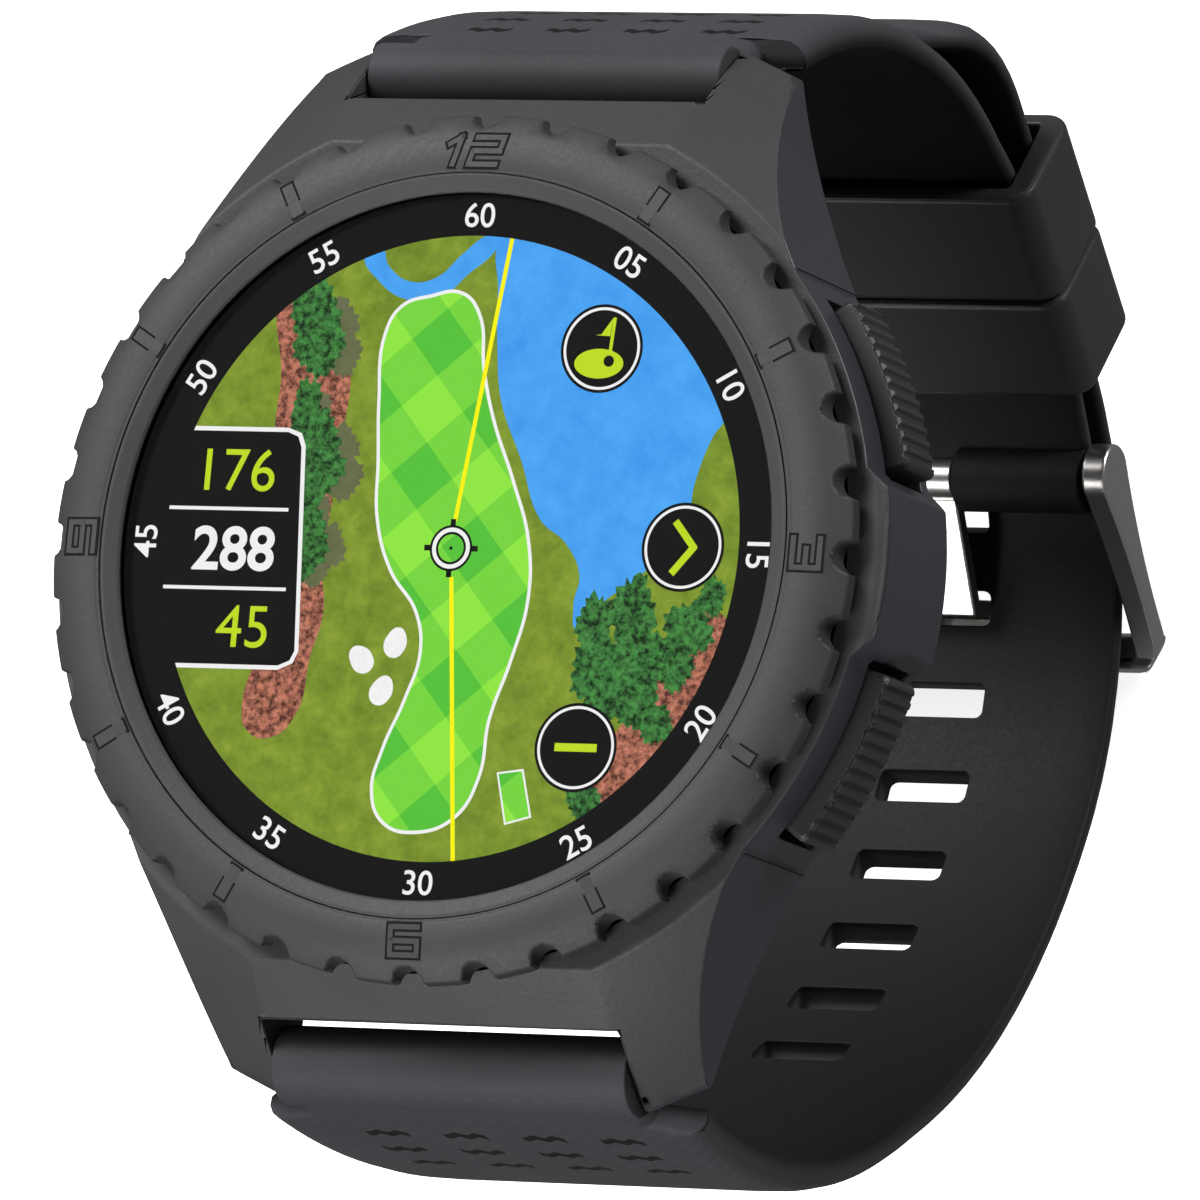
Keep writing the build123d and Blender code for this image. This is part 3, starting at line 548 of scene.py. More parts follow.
@dataclass(frozen=True)
class SiliconeFinish:
    """Strap silicone: ribbed and dashed outside, smooth inside, with grainy edges; its darker inner side
    and the dashes' near-black fill are painted shade.
    """

    name: str
    attribute: str
    outer: tuple[float, float, float, float]
    outer_light: tuple[float, float, float, float]
    inner: tuple[float, float, float, float]

    def make(self, desk: MaterialDesk) -> bpy.types.Material:
        """The material, made once.

        Args:
            desk: Material helpers.

        Returns:
            The Blender material.
        """
        if self.name in bpy.data.materials:
            return bpy.data.materials[self.name]
        material, tree, shader = desk.start(self.name)
        along = tree.nodes.new("ShaderNodeAttribute")
        along.attribute_name = self.attribute
        vector = along.outputs["Vector"]
        where = desk.coordinates(tree)
        drift = desk.group(
            tree, GroupName.DRIFT, where, Colour=self.outer, Light=self.outer_light, Scale=90.0
        )
        dashes = desk.group(tree, GroupName.DASHES, vector)
        ribs = desk.group(tree, GroupName.RIBS, vector)
        grain = desk.group(tree, GroupName.GRAIN, where, Scale=4200.0)
        mix = tree.nodes.new("ShaderNodeMix")
        mix.data_type = "RGBA"
        # Near-black fill of the recessed dashes: painted shade in the recesses.
        mix.inputs[7].default_value = (0.003, 0.003, 0.003, 1.0)
        split = tree.nodes.new("ShaderNodeSeparateXYZ")
        tree.links.new(vector, split.inputs[0])
        # Past the middle of the strap's depth the colour turns to the dark inner tone: painted shade on the
        # loop's inner side.
        side = tree.nodes.new("ShaderNodeMapRange")
        side.inputs["From Min"].default_value = 0.9
        side.inputs["From Max"].default_value = 1.6
        tree.links.new(split.outputs[2], side.inputs["Value"])
        inner_shade_mix = tree.nodes.new("ShaderNodeMix")
        inner_shade_mix.data_type = "RGBA"
        inner_shade_mix.inputs[7].default_value = self.inner
        tree.links.new(side.outputs["Result"], inner_shade_mix.inputs["Factor"])
        tree.links.new(drift.outputs["Colour"], inner_shade_mix.inputs[6])
        tree.links.new(dashes.outputs["Mask"], mix.inputs["Factor"])
        tree.links.new(inner_shade_mix.outputs[2], mix.inputs[6])
        tree.links.new(mix.outputs[2], shader.inputs["Base Color"])
        span = tree.nodes.new("ShaderNodeMapRange")
        span.inputs["To Min"].default_value = 0.55
        span.inputs["To Max"].default_value = 0.75
        shader.inputs["Specular IOR Level"].default_value = 0.25
        tree.links.new(grain.outputs["Mask"], span.inputs["Value"])
        tree.links.new(span.outputs["Result"], shader.inputs["Roughness"])
        first = desk.bump(tree, shader, grain.outputs["Height"], 0.000015, 0.5)
        second = desk.bump(tree, shader, ribs.outputs["Height"], 0.00006, 0.5, first)
        sunk = tree.nodes.new("ShaderNodeMath")
        sunk.operation = "SUBTRACT"
        sunk.inputs[0].default_value = 1.0
        tree.links.new(dashes.outputs["Mask"], sunk.inputs[1])
        desk.bump(tree, shader, sunk.outputs[0], 0.0003, 0.8, second)
        return material


@dataclass(frozen=True)
class ScreenFinish:
    """A glowing area of the display, plain or flecked; the white one also makes the printed minute numerals
    glow, which is painted light.
    """

    name: str
    dark: tuple[float, float, float, float]
    light: tuple[float, float, float, float]
    scale: float = 900.0
    contrast: float = 1.0
    glow: float = 1.0
    squares: float = 0.0

    def make(self, desk: MaterialDesk) -> bpy.types.Material:
        """The material, made once.

        Args:
            desk: Material helpers.

        Returns:
            The Blender material.
        """
        if self.name in bpy.data.materials:
            return bpy.data.materials[self.name]
        material, tree, shader = desk.start(self.name)
        where = desk.coordinates(tree)
        flecks = desk.group(
            tree,
            GroupName.FLECKS,
            where,
            Scale=self.scale,
            Contrast=self.contrast,
            Dark=self.dark,
            Light=self.light,
        )
        colour = flecks.outputs["Colour"]
        if self.squares:
            colour = self._mown(tree, where)
        tree.links.new(colour, shader.inputs["Emission Color"])
        shader.inputs["Base Color"].default_value = (0.004, 0.004, 0.004, 1.0)
        shader.inputs["Emission Strength"].default_value = self.glow
        shader.inputs["Roughness"].default_value = 0.5
        shader.inputs["Specular IOR Level"].default_value = 0.0
        return material

    def _mown(self, tree: bpy.types.NodeTree, where: bpy.types.NodeSocket) -> bpy.types.NodeSocket:
        """Diagonal mown squares in three greens.

        Args:
            tree: The material's tree.
            where: Object coordinates.

        Returns:
            The colour's socket.
        """
        turn = tree.nodes.new("ShaderNodeMapping")
        turn.inputs["Rotation"].default_value = (0.0, 0.0, math.radians(49))
        turn.inputs["Location"].default_value = (0.0004, 0.0003, 0.00005)
        tree.links.new(where, turn.inputs["Vector"])
        flat = tree.nodes.new("ShaderNodeVectorMath")
        flat.operation = "MULTIPLY"
        flat.inputs[1].default_value = (1.0, 1.0, 0.0)
        tree.links.new(turn.outputs["Vector"], flat.inputs[0])
        split = tree.nodes.new("ShaderNodeSeparateXYZ")
        tree.links.new(flat.outputs[0], split.inputs[0])
        bands = []
        for axis in (0, 1):
            turns = tree.nodes.new("ShaderNodeMath")
            turns.operation = "MULTIPLY"
            turns.inputs[1].default_value = self.squares
            tree.links.new(split.outputs[axis], turns.inputs[0])
            part = tree.nodes.new("ShaderNodeMath")
            part.operation = "FRACT"
            tree.links.new(turns.outputs[0], part.inputs[0])
            half = tree.nodes.new("ShaderNodeMath")
            half.operation = "GREATER_THAN"
            half.inputs[1].default_value = 0.5
            tree.links.new(part.outputs[0], half.inputs[0])
            bands.append(half)
        level = tree.nodes.new("ShaderNodeMath")
        level.operation = "ADD"
        tree.links.new(bands[0].outputs[0], level.inputs[0])
        tree.links.new(bands[1].outputs[0], level.inputs[1])
        scaled = tree.nodes.new("ShaderNodeMath")
        scaled.operation = "MULTIPLY"
        scaled.inputs[1].default_value = 0.5
        tree.links.new(level.outputs[0], scaled.inputs[0])
        mix = tree.nodes.new("ShaderNodeMix")
        mix.data_type = "RGBA"
        mix.inputs[6].default_value = self.dark
        mix.inputs[7].default_value = self.light
        tree.links.new(scaled.outputs[0], mix.inputs["Factor"])
        return mix.outputs[2]


@dataclass(frozen=True)
class GlassFinish:
    """Clear cover glass."""

    name: str = "cover_glass_clear"

    def make(self, desk: MaterialDesk) -> bpy.types.Material:
        """The material, made once.

        Args:
            desk: Material helpers.

        Returns:
            The Blender material.
        """
        if self.name in bpy.data.materials:
            return bpy.data.materials[self.name]
        material, _tree, shader = desk.start(self.name)
        shader.inputs["Base Color"].default_value = (1.0, 1.0, 1.0, 1.0)
        shader.inputs["Roughness"].default_value = 0.0
        shader.inputs["IOR"].default_value = 1.45
        shader.inputs["Transmission Weight"].default_value = 1.0
        shader.inputs["Specular IOR Level"].default_value = 0.12
        return material


CROWN_MATTE = MouldedFinish(
    "crown_matte_grey", (0.025, 0.0245, 0.026, 1), (0.037, 0.036, 0.039, 1), 0.5, 0.7, 5600.0, 0.03 * MM
)
WALL_SATIN = MouldedFinish(
    "wall_satin_slate", (0.024, 0.025, 0.032, 1), (0.034, 0.035, 0.044, 1), 0.3, 0.42, 9000.0, 0.006 * MM
)
BEZEL_MATTE = MouldedFinish(
    "bezel_matte_grey",
    dark=(0.021, 0.0205, 0.0225, 1),
    light=(0.031, 0.0305, 0.033, 1),
    rough_low=0.52,
    rough_high=0.72,
    grain=5000.0,
    depth=0.035 * MM,
)
# Near-black dull outline of the engraved bezel marks: painted shade in the grooves.
ENGRAVED_GROOVE_SHADE = MouldedFinish(
    "engraved_dark", (0.006, 0.006, 0.006, 1), (0.01, 0.01, 0.01, 1), 0.7, 0.9, gloss=0.08
)
BUTTON_BLACK = MouldedFinish(
    "button_black", (0.018, 0.018, 0.019, 1), (0.028, 0.028, 0.03, 1), 0.4, 0.55, 6000.0, 0.012 * MM
)
BACK_BLACK = MouldedFinish(
    "back_cover_black", (0.02, 0.02, 0.022, 1), (0.032, 0.032, 0.034, 1), 0.4, 0.6, 4000.0, 0.02 * MM
)
KEEPER_SATIN = MouldedFinish(
    "keeper_satin_black", (0.018, 0.018, 0.021, 1), (0.027, 0.027, 0.032, 1), 0.36, 0.5, 4200.0, 0.012 * MM
)
SEAL_RUBBER = MouldedFinish("seal_rubber", (0.012, 0.012, 0.012, 1), (0.02, 0.02, 0.02, 1), 0.5, 0.7)
INNER_PLASTIC = MouldedFinish("inner_plastic", (0.06, 0.06, 0.065, 1), (0.09, 0.09, 0.095, 1), 0.45, 0.65)
CHIP_BLACK = MouldedFinish("chip_black", (0.015, 0.015, 0.016, 1), (0.03, 0.03, 0.032, 1), 0.5, 0.7)
BOARD_GREEN = MouldedFinish("board_green", (0.01, 0.06, 0.03, 1), (0.02, 0.09, 0.045, 1), 0.3, 0.45)
FLEX_AMBER = MouldedFinish("flex_amber", (0.35, 0.14, 0.02, 1), (0.45, 0.2, 0.04, 1), 0.3, 0.45)
STEEL_SATIN = MetalFinish("steel_satin", (0.60, 0.58, 0.56, 1), 0.22, 0.38)
STEEL_POLISHED = MetalFinish("steel_polished", (0.68, 0.67, 0.65, 1), 0.06, 0.12, 0.000001)
FOIL = MetalFinish("pouch_foil", (0.7, 0.7, 0.72, 1), 0.3, 0.45)
GOLD = MetalFinish("contact_gold", (0.9, 0.62, 0.25, 1), 0.15, 0.25)
STRAP_SILICONE = SiliconeFinish(
    "strap_silicone",
    attribute="along_strap",
    outer=(0.036, 0.0365, 0.041, 1),
    outer_light=(0.05, 0.0505, 0.057, 1),
    # Inner colour far darker than the outer: painted shade on the loop's inside, the same silicone.
    inner=(0.0045, 0.0045, 0.006, 1),
)
GLASS = GlassFinish()
SCREEN_BLACK = ScreenFinish("screen_black", (0.0, 0.0, 0.0, 1), (0.001, 0.001, 0.001, 1), glow=0.0)
# White glow of the screen's lines, also given to the printed minute numerals under the glass as painted
# light.
SCREEN_WHITE_AND_PRINT_GLOW = ScreenFinish("screen_white", (0.9, 0.9, 0.9, 1), (0.95, 0.95, 0.95, 1))
SCREEN_YELLOW = ScreenFinish("screen_yellow", srgb(255, 250, 0), srgb(255, 250, 0))
SCREEN_LIME = ScreenFinish("screen_lime", srgb(193, 224, 30), srgb(193, 224, 30))
SCREEN_TURF = ScreenFinish("screen_turf", srgb(96, 124, 26), srgb(146, 170, 52), 700.0, 2.2)
SCREEN_WATER = ScreenFinish("screen_water", srgb(58, 150, 240), srgb(84, 178, 255), 500.0, 2.0)
SCREEN_FAIRWAY = ScreenFinish("screen_fairway", srgb(86, 198, 56), srgb(146, 236, 66), squares=186.0)
SCREEN_BARK = ScreenFinish("screen_bark", srgb(84, 44, 34), srgb(206, 130, 104), 2600.0, 4.5)
SCREEN_LEAVES = ScreenFinish("screen_leaves", srgb(4, 34, 6), srgb(74, 148, 70), 2600.0, 4.0)
SCREEN_SHADE = ScreenFinish("screen_shade", srgb(92, 98, 60), srgb(112, 116, 84), 900.0, 2.0)
SCREEN_SAND = ScreenFinish("screen_sand", (0.86, 0.86, 0.86, 1), (1.0, 1.0, 1.0, 1), 1200.0, 2.0)


# ---------------------------------------------------------------- making pieces


@dataclass
class Workbench:
    """Turns bmeshes into finished pieces that ride on the frame."""

    frame: dict
    desk: MaterialDesk

    def copy_node(self, node: str) -> bmesh.types.BMesh:
        """A merged copy of a CAD node's mesh.

        Args:
            node: The CAD node's name.

        Returns:
            A bmesh with flat areas dissolved into single faces.
        """
        bm = bmesh.new()
        bm.from_mesh(self.frame["nodes"][node].data)
        bmesh.ops.remove_doubles(bm, verts=bm.verts, dist=MERGE_DISTANCE)
        bmesh.ops.dissolve_limit(bm, angle_limit=FLAT_ANGLE, verts=bm.verts, edges=bm.edges)
        bm.normal_update()
        return bm

    def piece(
        self,
        name: str,
        bm: bmesh.types.BMesh,
        finishes: list[object],
        body: str = "watch",
        stands_for: tuple[str, ...] = (),
        slot: str | None = None,
        bevel: float = 0.0,
        segments: int = 2,
    ) -> bpy.types.Object:
        """Makes the object, dresses it and joins it to the frame.

        Args:
            name: The piece's name.
            bm: Its shape, which is used up.
            finishes: Finishes in the order of the faces' material numbers.
            body: The CAD body it rides on.
            stands_for: CAD nodes that it replaces.
            slot: The record's material slot; not used.
            bevel: Width of a bevel on sharp edges, in metres, or 0.
            segments: Segments of that bevel.

        Returns:
            The finished object.
        """
        for face in bm.faces:
            face.smooth = True
        for edge in bm.edges:
            edge.smooth = edge.calc_face_angle(0.0) < SHARP_ANGLE
        mesh = bpy.data.meshes.new(name)
        bm.to_mesh(mesh)
        bm.free()
        made = bpy.data.objects.new(name, mesh)
        bpy.context.scene.collection.objects.link(made)
        for finish in finishes:
            mesh.materials.append(finish.make(self.desk))
        if bevel:
            soften = made.modifiers.new("edges", "BEVEL")
            soften.width = bevel
            soften.segments = segments
            soften.limit_method = "ANGLE"
            soften.angle_limit = SHARP_ANGLE
            soften.use_clamp_overlap = False
            soften.harden_normals = True
            soften.material = -1
        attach(made, body)
        if stands_for:
            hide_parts(*stands_for)
        LOG.info("piece %s", name)
        return made

    def dress_node(self, node: str, finish: object) -> None:
        """Gives a CAD node its finish.

        Args:
            node: The CAD node's name.
            finish: The finish.
        """
        mesh = self.frame["nodes"][node].data
        mesh.materials.clear()
        mesh.materials.append(finish.make(self.desk))


class Flat:
    """Flat shapes made as filled curves and text, in millimetres."""

    @staticmethod
    def _mesh_of(curve: bpy.types.Curve) -> bpy.types.Mesh:
        """The curve as a mesh, with the curve removed.

        Args:
            curve: A text or curve.

        Returns:
            Its mesh.
        """
        holder = bpy.data.objects.new("flat_curve", curve)
        bpy.context.scene.collection.objects.link(holder)
        bpy.context.view_layer.update()
        mesh = bpy.data.meshes.new_from_object(holder.evaluated_get(bpy.context.evaluated_depsgraph_get()))
        bpy.data.objects.remove(holder)
        bpy.data.curves.remove(curve)
        return mesh

    @classmethod
    def outline(cls, points: list[tuple[float, float]], smooth: bool = True) -> bpy.types.Mesh:
        """A filled shape whose edge runs through the points.

        Args:
            points: Points in order.
            smooth: Whether the edge is a smooth curve.

        Returns:
            A flat mesh.
        """
        curve = bpy.data.curves.new("shape", "CURVE")
        curve.dimensions = "2D"
        curve.fill_mode = "BOTH"
        curve.resolution_u = 8 if smooth else 1
        spline = curve.splines.new("BEZIER")
        spline.bezier_points.add(len(points) - 1)
        for knot, (x, y) in zip(spline.bezier_points, points):
            knot.co = (x, y, 0)
            knot.handle_left_type = "AUTO" if smooth else "VECTOR"
            knot.handle_right_type = "AUTO" if smooth else "VECTOR"
        spline.use_cyclic_u = True
        return cls._mesh_of(curve)

    @classmethod
    def stroke(cls, points: list[tuple[float, float]], width: float, caps: float = 0.6) -> bpy.types.Mesh:
        """A line of even width through the points.

        Args:
            points: Points in order.
            width: Its width.
            caps: How much of the width each piece is longer than its run.

        Returns:
            A flat mesh.
        """
        bm = bmesh.new()
        for first, second in zip(points, points[1:]):
            along = Vector((second[0] - first[0], second[1] - first[1], 0))
            matrix = Matrix.Translation(((first[0] + second[0]) / 2, (first[1] + second[1]) / 2, 0))
            matrix @= Matrix.Rotation(math.atan2(along.y, along.x), 4, "Z")
            matrix @= Matrix.Diagonal((along.length + width * caps, width, 1, 1))
            bmesh.ops.create_grid(bm, x_segments=1, y_segments=1, size=0.5, matrix=matrix)
        mesh = bpy.data.meshes.new("stroke")
        bm.to_mesh(mesh)
        bm.free()
        return mesh

    @classmethod
    def text(cls, words: str, height: float, bold: float = 0.0) -> bpy.types.Mesh:
        """Centred text of a given capital height.

        Args:
            words: What it says.
            height: Height of a numeral.
            bold: Extra weight of the strokes.

        Returns:
            A flat mesh centred on the origin.
        """
        curve = bpy.data.curves.new("words", "FONT")
        curve.body = words
        curve.size = height / 0.73
        curve.offset = bold
        curve.resolution_u = 6
        mesh = cls._mesh_of(curve)
        low = Vector((min(v.co.x for v in mesh.vertices), min(v.co.y for v in mesh.vertices), 0))
        high = Vector((max(v.co.x for v in mesh.vertices), max(v.co.y for v in mesh.vertices), 0))
        mesh.transform(Matrix.Translation(-(low + high) / 2))
        return mesh

    @classmethod
    def disc(cls, radius: float, hole: float = 0.0, sides: int = 96) -> bpy.types.Mesh:
        """A disc or ring.

        Args:
            radius: Outer radius.
            hole: Inner radius, or 0.
            sides: Sides of its edge.

        Returns:
            A flat mesh.
        """
        bm = bmesh.new()
        if hole:
            bmesh.ops.create_circle(bm, segments=sides, radius=radius)
            bmesh.ops.create_circle(bm, segments=sides, radius=hole)
            bmesh.ops.bridge_loops(bm, edges=bm.edges)
        else:
            bmesh.ops.create_circle(bm, cap_ends=True, segments=sides, radius=radius)
        mesh = bpy.data.meshes.new("disc")
        bm.to_mesh(mesh)
        bm.free()
        return mesh


@dataclass
class Artwork:
    """Layers of flat shapes gathered into one mesh."""

    finishes: list[object] = field(default_factory=list)
    bm: bmesh.types.BMesh = field(default_factory=bmesh.new)

    def add(
        self,
        mesh: bpy.types.Mesh,
        finish: object,
        height: float,
        at: tuple[float, float] = (0.0, 0.0),
        turn: float = 0.0,
        slant: float = 0.0,
    ) -> None:
        """Lays one shape on, facing up.

        Args:
            mesh: The flat shape, in millimetres.
            finish: Its finish.
            height: Its height in the row frame, in millimetres.
            at: Where its centre goes.
            turn: Turn about Z, in degrees.
            slant: Shear towards the right, for slanted lettering.
        """
        if finish not in self.finishes:
            self.finishes.append(finish)
        number = self.finishes.index(finish)
        shear = Matrix.Identity(4)
        shear[0][1] = slant
        turned = Matrix.Rotation(math.radians(turn), 4, "Z") @ shear
        mesh.transform(Matrix.Scale(MM, 4) @ Matrix.Translation((at[0], at[1], height)) @ turned)
        before = len(self.bm.faces)
        self.bm.from_mesh(mesh)
        self.bm.faces.ensure_lookup_table()
        for face in self.bm.faces[before:]:
            face.material_index = number
            face.normal_update()
            if face.normal.z < 0:
                face.normal_flip()
        bpy.data.meshes.remove(mesh)


# ---------------------------------------------------------------- head of the watch


@dataclass
class CaseBody:
    """The moulded case with its lugs: matte crown and satin side wall."""

    bench: Workbench
    wall_radius: float = 22.0 * MM
    lug_inside: float = 11.05 * MM
    steep_normal: float = 0.35
    edge: float = 0.16 * MM

    def build(self) -> None:
        """Builds the case from the CAD shape and gives its faces their finish."""
        bm = self.bench.copy_node("case")
        for face in bm.faces:
            centre = face.calc_center_median()
            steep = abs(face.normal.z) < self.steep_normal
            outside = centre.to_2d().length > self.wall_radius
            between_lugs = abs(centre.x) < self.lug_inside and abs(centre.y) > self.wall_radius
            face.material_index = 1 if steep and outside and not between_lugs else 0
        self.bench.piece(
            "case_shell",
            bm,
            [CROWN_MATTE, WALL_SATIN],
            stands_for=("case",),
            slot="case_polymer",
            bevel=self.edge,
        )


@dataclass
class Bezel:
    """The notched bezel with its engraved hour marks and numerals; the grooves are drawn as near-black
    outlines of painted shade.
    """

    bench: Workbench
    mark_radius: float = 22.25
    mark_length: float = 2.1
    mark_width: float = 0.8
    line: float = 0.13
    pen: float = 0.3
    digit_half_width: float = 0.82
    digit_half_height: float = 0.78
    lip_radius: float = 21.35
    lip_height: float = 14.0
    slope: float = 0.1026
    lift: float = 0.012
    fill_lift: float = 0.01
    lean: float = 0.25
    edge: float = 0.18 * MM

    def build(self) -> None:
        """Builds the ring and its marks."""
        self.bench.piece(
            "bezel_body",
            self.bench.copy_node("bezel_ring"),
            [BEZEL_MATTE],
            stands_for=("bezel_ring",),
            slot="bezel",
            bevel=self.edge,
        )
        self.marks()

    def top(self, radius: float) -> float:
        """Height of the bezel's sloping top.

        Args:
            radius: Distance from the axis, in millimetres.

        Returns:
            The height there, in millimetres.
        """
        return self.lip_height - self.slope * max(0.0, radius - self.lip_radius)

    def marks(self) -> None:
        """Outlined bars at the hours and outlined numerals at 12, 3, 6 and 9, each a near-black outline of
        painted shade for the engraved groove round a fill of bezel grey.
        """
        art = Artwork()
        for hour in range(12):
            angle = math.radians(90 - 30 * hour)
            place = (self.mark_radius * math.cos(angle), self.mark_radius * math.sin(angle))
            turn = 0 if hour == 6 else -30 * hour
            thick = self.mark_width - self.line if hour % 3 else self.pen
            slant = self.lean if hour == 0 else 0.0
            for points in self.strokes(hour):
                # Near-black outline: painted shade standing for the engraved groove.
                rim = Flat.stroke(points, thick + 2 * self.line, 1.0)
                art.add(rim, ENGRAVED_GROOVE_SHADE, 0.0, place, turn, slant)
                art.add(Flat.stroke(points, thick, 1.0), BEZEL_MATTE, self.fill_lift, place, turn, slant)
        for vert in art.bm.verts:
            layer = vert.co.z / MM
            vert.co.z = (self.top(vert.co.to_2d().length / MM) + self.lift + layer) * MM
        self.bench.piece("bezel_marks", art.bm, art.finishes, slot="bezel")

    def strokes(self, hour: int) -> list[list[tuple[float, float]]]:
        """Centre lines of an hour's mark.

        Args:
            hour: The hour, 0 for twelve.

        Returns:
            Polylines about the mark's centre.
        """
        w, h = self.digit_half_width, self.digit_half_height
        reach = (self.mark_length - self.mark_width) / 2
        digits = {
            0: [
                [(-2.2 * w, h * 0.5), (-1.5 * w, h), (-1.5 * w, -h)],
                [(-0.3 * w, h), (1.7 * w, h), (1.7 * w, 0), (-0.3 * w, 0), (-0.3 * w, -h), (1.7 * w, -h)],
            ],
            3: [[(-w, h), (w, h), (w, -h), (-w, -h)], [(-0.3 * w, 0), (w, 0)]],
            6: [[(w, h), (-w, h), (-w, -h), (w, -h), (w, 0), (-w, 0)]],
            9: [[(-w, -h), (w, -h), (w, h), (-w, h), (-w, 0), (w, 0)]],
        }
        return digits.get(hour, [[(0, -reach), (0, reach)]])


@dataclass
class Display:
    """Cover glass, black border with the minutes, and the course map under it."""

    bench: Workbench
    glass_radius: float = 20.9
    glass_low: float = 12.5
    glass_high: float = 13.3
    screen_radius: float = 17.65
    stack_low: float = 11.76
    stack_high: float = 12.4
    layer: float = 0.005
    module_radius: float = 18.6
    border_radius: float = 20.7
    picture_radius: float = 17.9
    minute_radius: float = 18.82
    minute_height: float = 1.42
    number_height: float = 2.5
    icon_radius: float = 2.5
    line_width: float = 0.26

    def build(self) -> None:
        """Builds glass, border and picture."""
        self.glass()
        self.stack()
        self.border()
        self.course()

    def glass(self) -> None:
        """The clear glass with a small polished edge."""
        bm = bmesh.new()
        self.slab(bm, self.glass_radius, self.glass_low, self.glass_high, 160)
        self.bench.piece(
            "glass_clear",
            bm,
            [GLASS],
            stands_for=("cover_glass",),
            slot="glass",
            bevel=0.12 * MM,
            segments=3,
        )

    def stack(self) -> None:
        """The display module's black body under the picture."""
        bm = bmesh.new()
        self.slab(bm, self.module_radius, self.stack_low, self.stack_high, 96)
        self.bench.piece(
            "display_module", bm, [CHIP_BLACK], stands_for=("touch_panel",), slot="display", bevel=0.05 * MM
        )
        self.bench.dress_node("display_panel", CHIP_BLACK)

    def slab(self, bm: bmesh.types.BMesh, radius: float, low: float, high: float, sides: int) -> None:
        """A flat round slab on the dial's axis, sized in millimetres.

        Args:
            bm: Where it goes.
            radius: Its radius.
            low: Height of its underside.
            high: Height of its top.
            sides: Sides of its edge.
        """
        bmesh.ops.create_cone(
            bm,
            cap_ends=True,
            segments=sides,
            radius1=radius * MM,
            radius2=radius * MM,
            depth=(high - low) * MM,
            matrix=Matrix.Translation((0, 0, (high + low) / 2 * MM)),
        )

    def border(self) -> None:
        """The black border printed under the glass, with white minutes that glow like the screen: painted
        light on printed numerals.
        """
        art = Artwork()
        art.add(Flat.disc(self.border_radius, self.screen_radius, 160), SCREEN_BLACK, self.glass_low - 0.02)
        for minute in range(5, 65, 5):
            angle = math.radians(90 - 6 * minute)
            turn = -6 * minute
            if 15 < minute < 45:
                turn += 180
            place = self.minute_radius * Vector((math.cos(angle), math.sin(angle)))
            numeral = Flat.text(f"{minute:02d}", self.minute_height, 0.015)
            # The printed minutes glow: painted light in place of the light falling on them.
            art.add(numeral, SCREEN_WHITE_AND_PRINT_GLOW, self.glass_low - 0.01, tuple(place), turn)
        self.bench.piece("minute_border", art.bm, art.finishes, slot="display")

    def course(self) -> None:
        """The course map: turf, water, bark, trees, fairway, aim line, buttons and distances."""
        art = Artwork()
        level = self.stack_high + 0.01
        art.add(Flat.disc(self.picture_radius, sides=128), SCREEN_TURF, level)
        self.water_and_bark(art, level + self.layer)
        self.woods(art, level + self.layer * 3)
        self.play_areas(art, level + self.layer * 6)
        for run in ([(2.0, -17.6), (0.3, -1.7)], [(0.2, 1.6), (2.1, 17.6)]):
            art.add(Flat.stroke(run, self.line_width), SCREEN_YELLOW, level + self.layer * 9)
        self.aim(art, level + self.layer * 10)
        self.icons(art, level + self.layer * 10)
        self.distances(art, level + self.layer * 10)
        self.bench.piece("course_map", art.bm, art.finishes, slot="display")

    def water_and_bark(self, art: Artwork, height: float) -> None:
        """The creek, the lake and the two stretches of bark.

        Args:
            art: Where they go.
            height: Height of the water's layer.
        """
        creek = [
            (-6.9, 16.6), (-5.9, 15.0), (-3.9, 13.95), (-1.9, 14.2), (-0.4, 15.5), (1.0, 16.7), (1.5, 17.7),
            (0.6, 17.7), (-0.9, 16.6), (-2.3, 15.3), (-3.9, 15.0), (-5.4, 15.9), (-6.0, 17.0),
        ]
        lake = [
            (1.5, 17.5), (1.5, 14.6), (1.8, 11.2), (2.3, 8.4), (3.9, 5.0), (5.4, 1.7), (7.1, 0.4),
            (8.1, -1.4), (7.9, -3.0), (8.4, -4.5), (9.5, -3.0), (11.9, -1.2), (14.3, 2.0), (14.6, 4.0),
            (15.4, 6.5), (16.2, 8.0), (14.3, 10.8), (11.6, 13.6), (7.7, 16.2), (4.2, 17.6),
        ]
        bark_left = [
            (-11.3, 14.6), (-8.9, 13.9), (-7.2, 10.3), (-7.2, 6.5), (-7.5, 2.5), (-7.8, -0.9),
            (-7.4, -3.7), (-8.0, -6.5), (-8.4, -9.3), (-9.9, -10.9), (-11.5, -10.5), (-11.9, -8.9),
            (-11.3, -6.6), (-10.1, -4.3), (-10.2, 0.2), (-11.4, 4.7), (-11.4, 9.3),
        ]
        bark_right = [
            (15.3, -3.2), (17.4, -3.8), (16.6, -7.4), (13.6, -11.6), (10.6, -14.6), (9.9, -14.0),
            (10.9, -10.5), (13.1, -7.7), (14.0, -4.9),
        ]
        art.add(Flat.outline(creek), SCREEN_WATER, height)
        art.add(Flat.outline(lake), SCREEN_WATER, height)
        art.add(Flat.outline(bark_left), SCREEN_BARK, height + self.layer)
        art.add(Flat.outline(bark_right), SCREEN_BARK, height + self.layer)

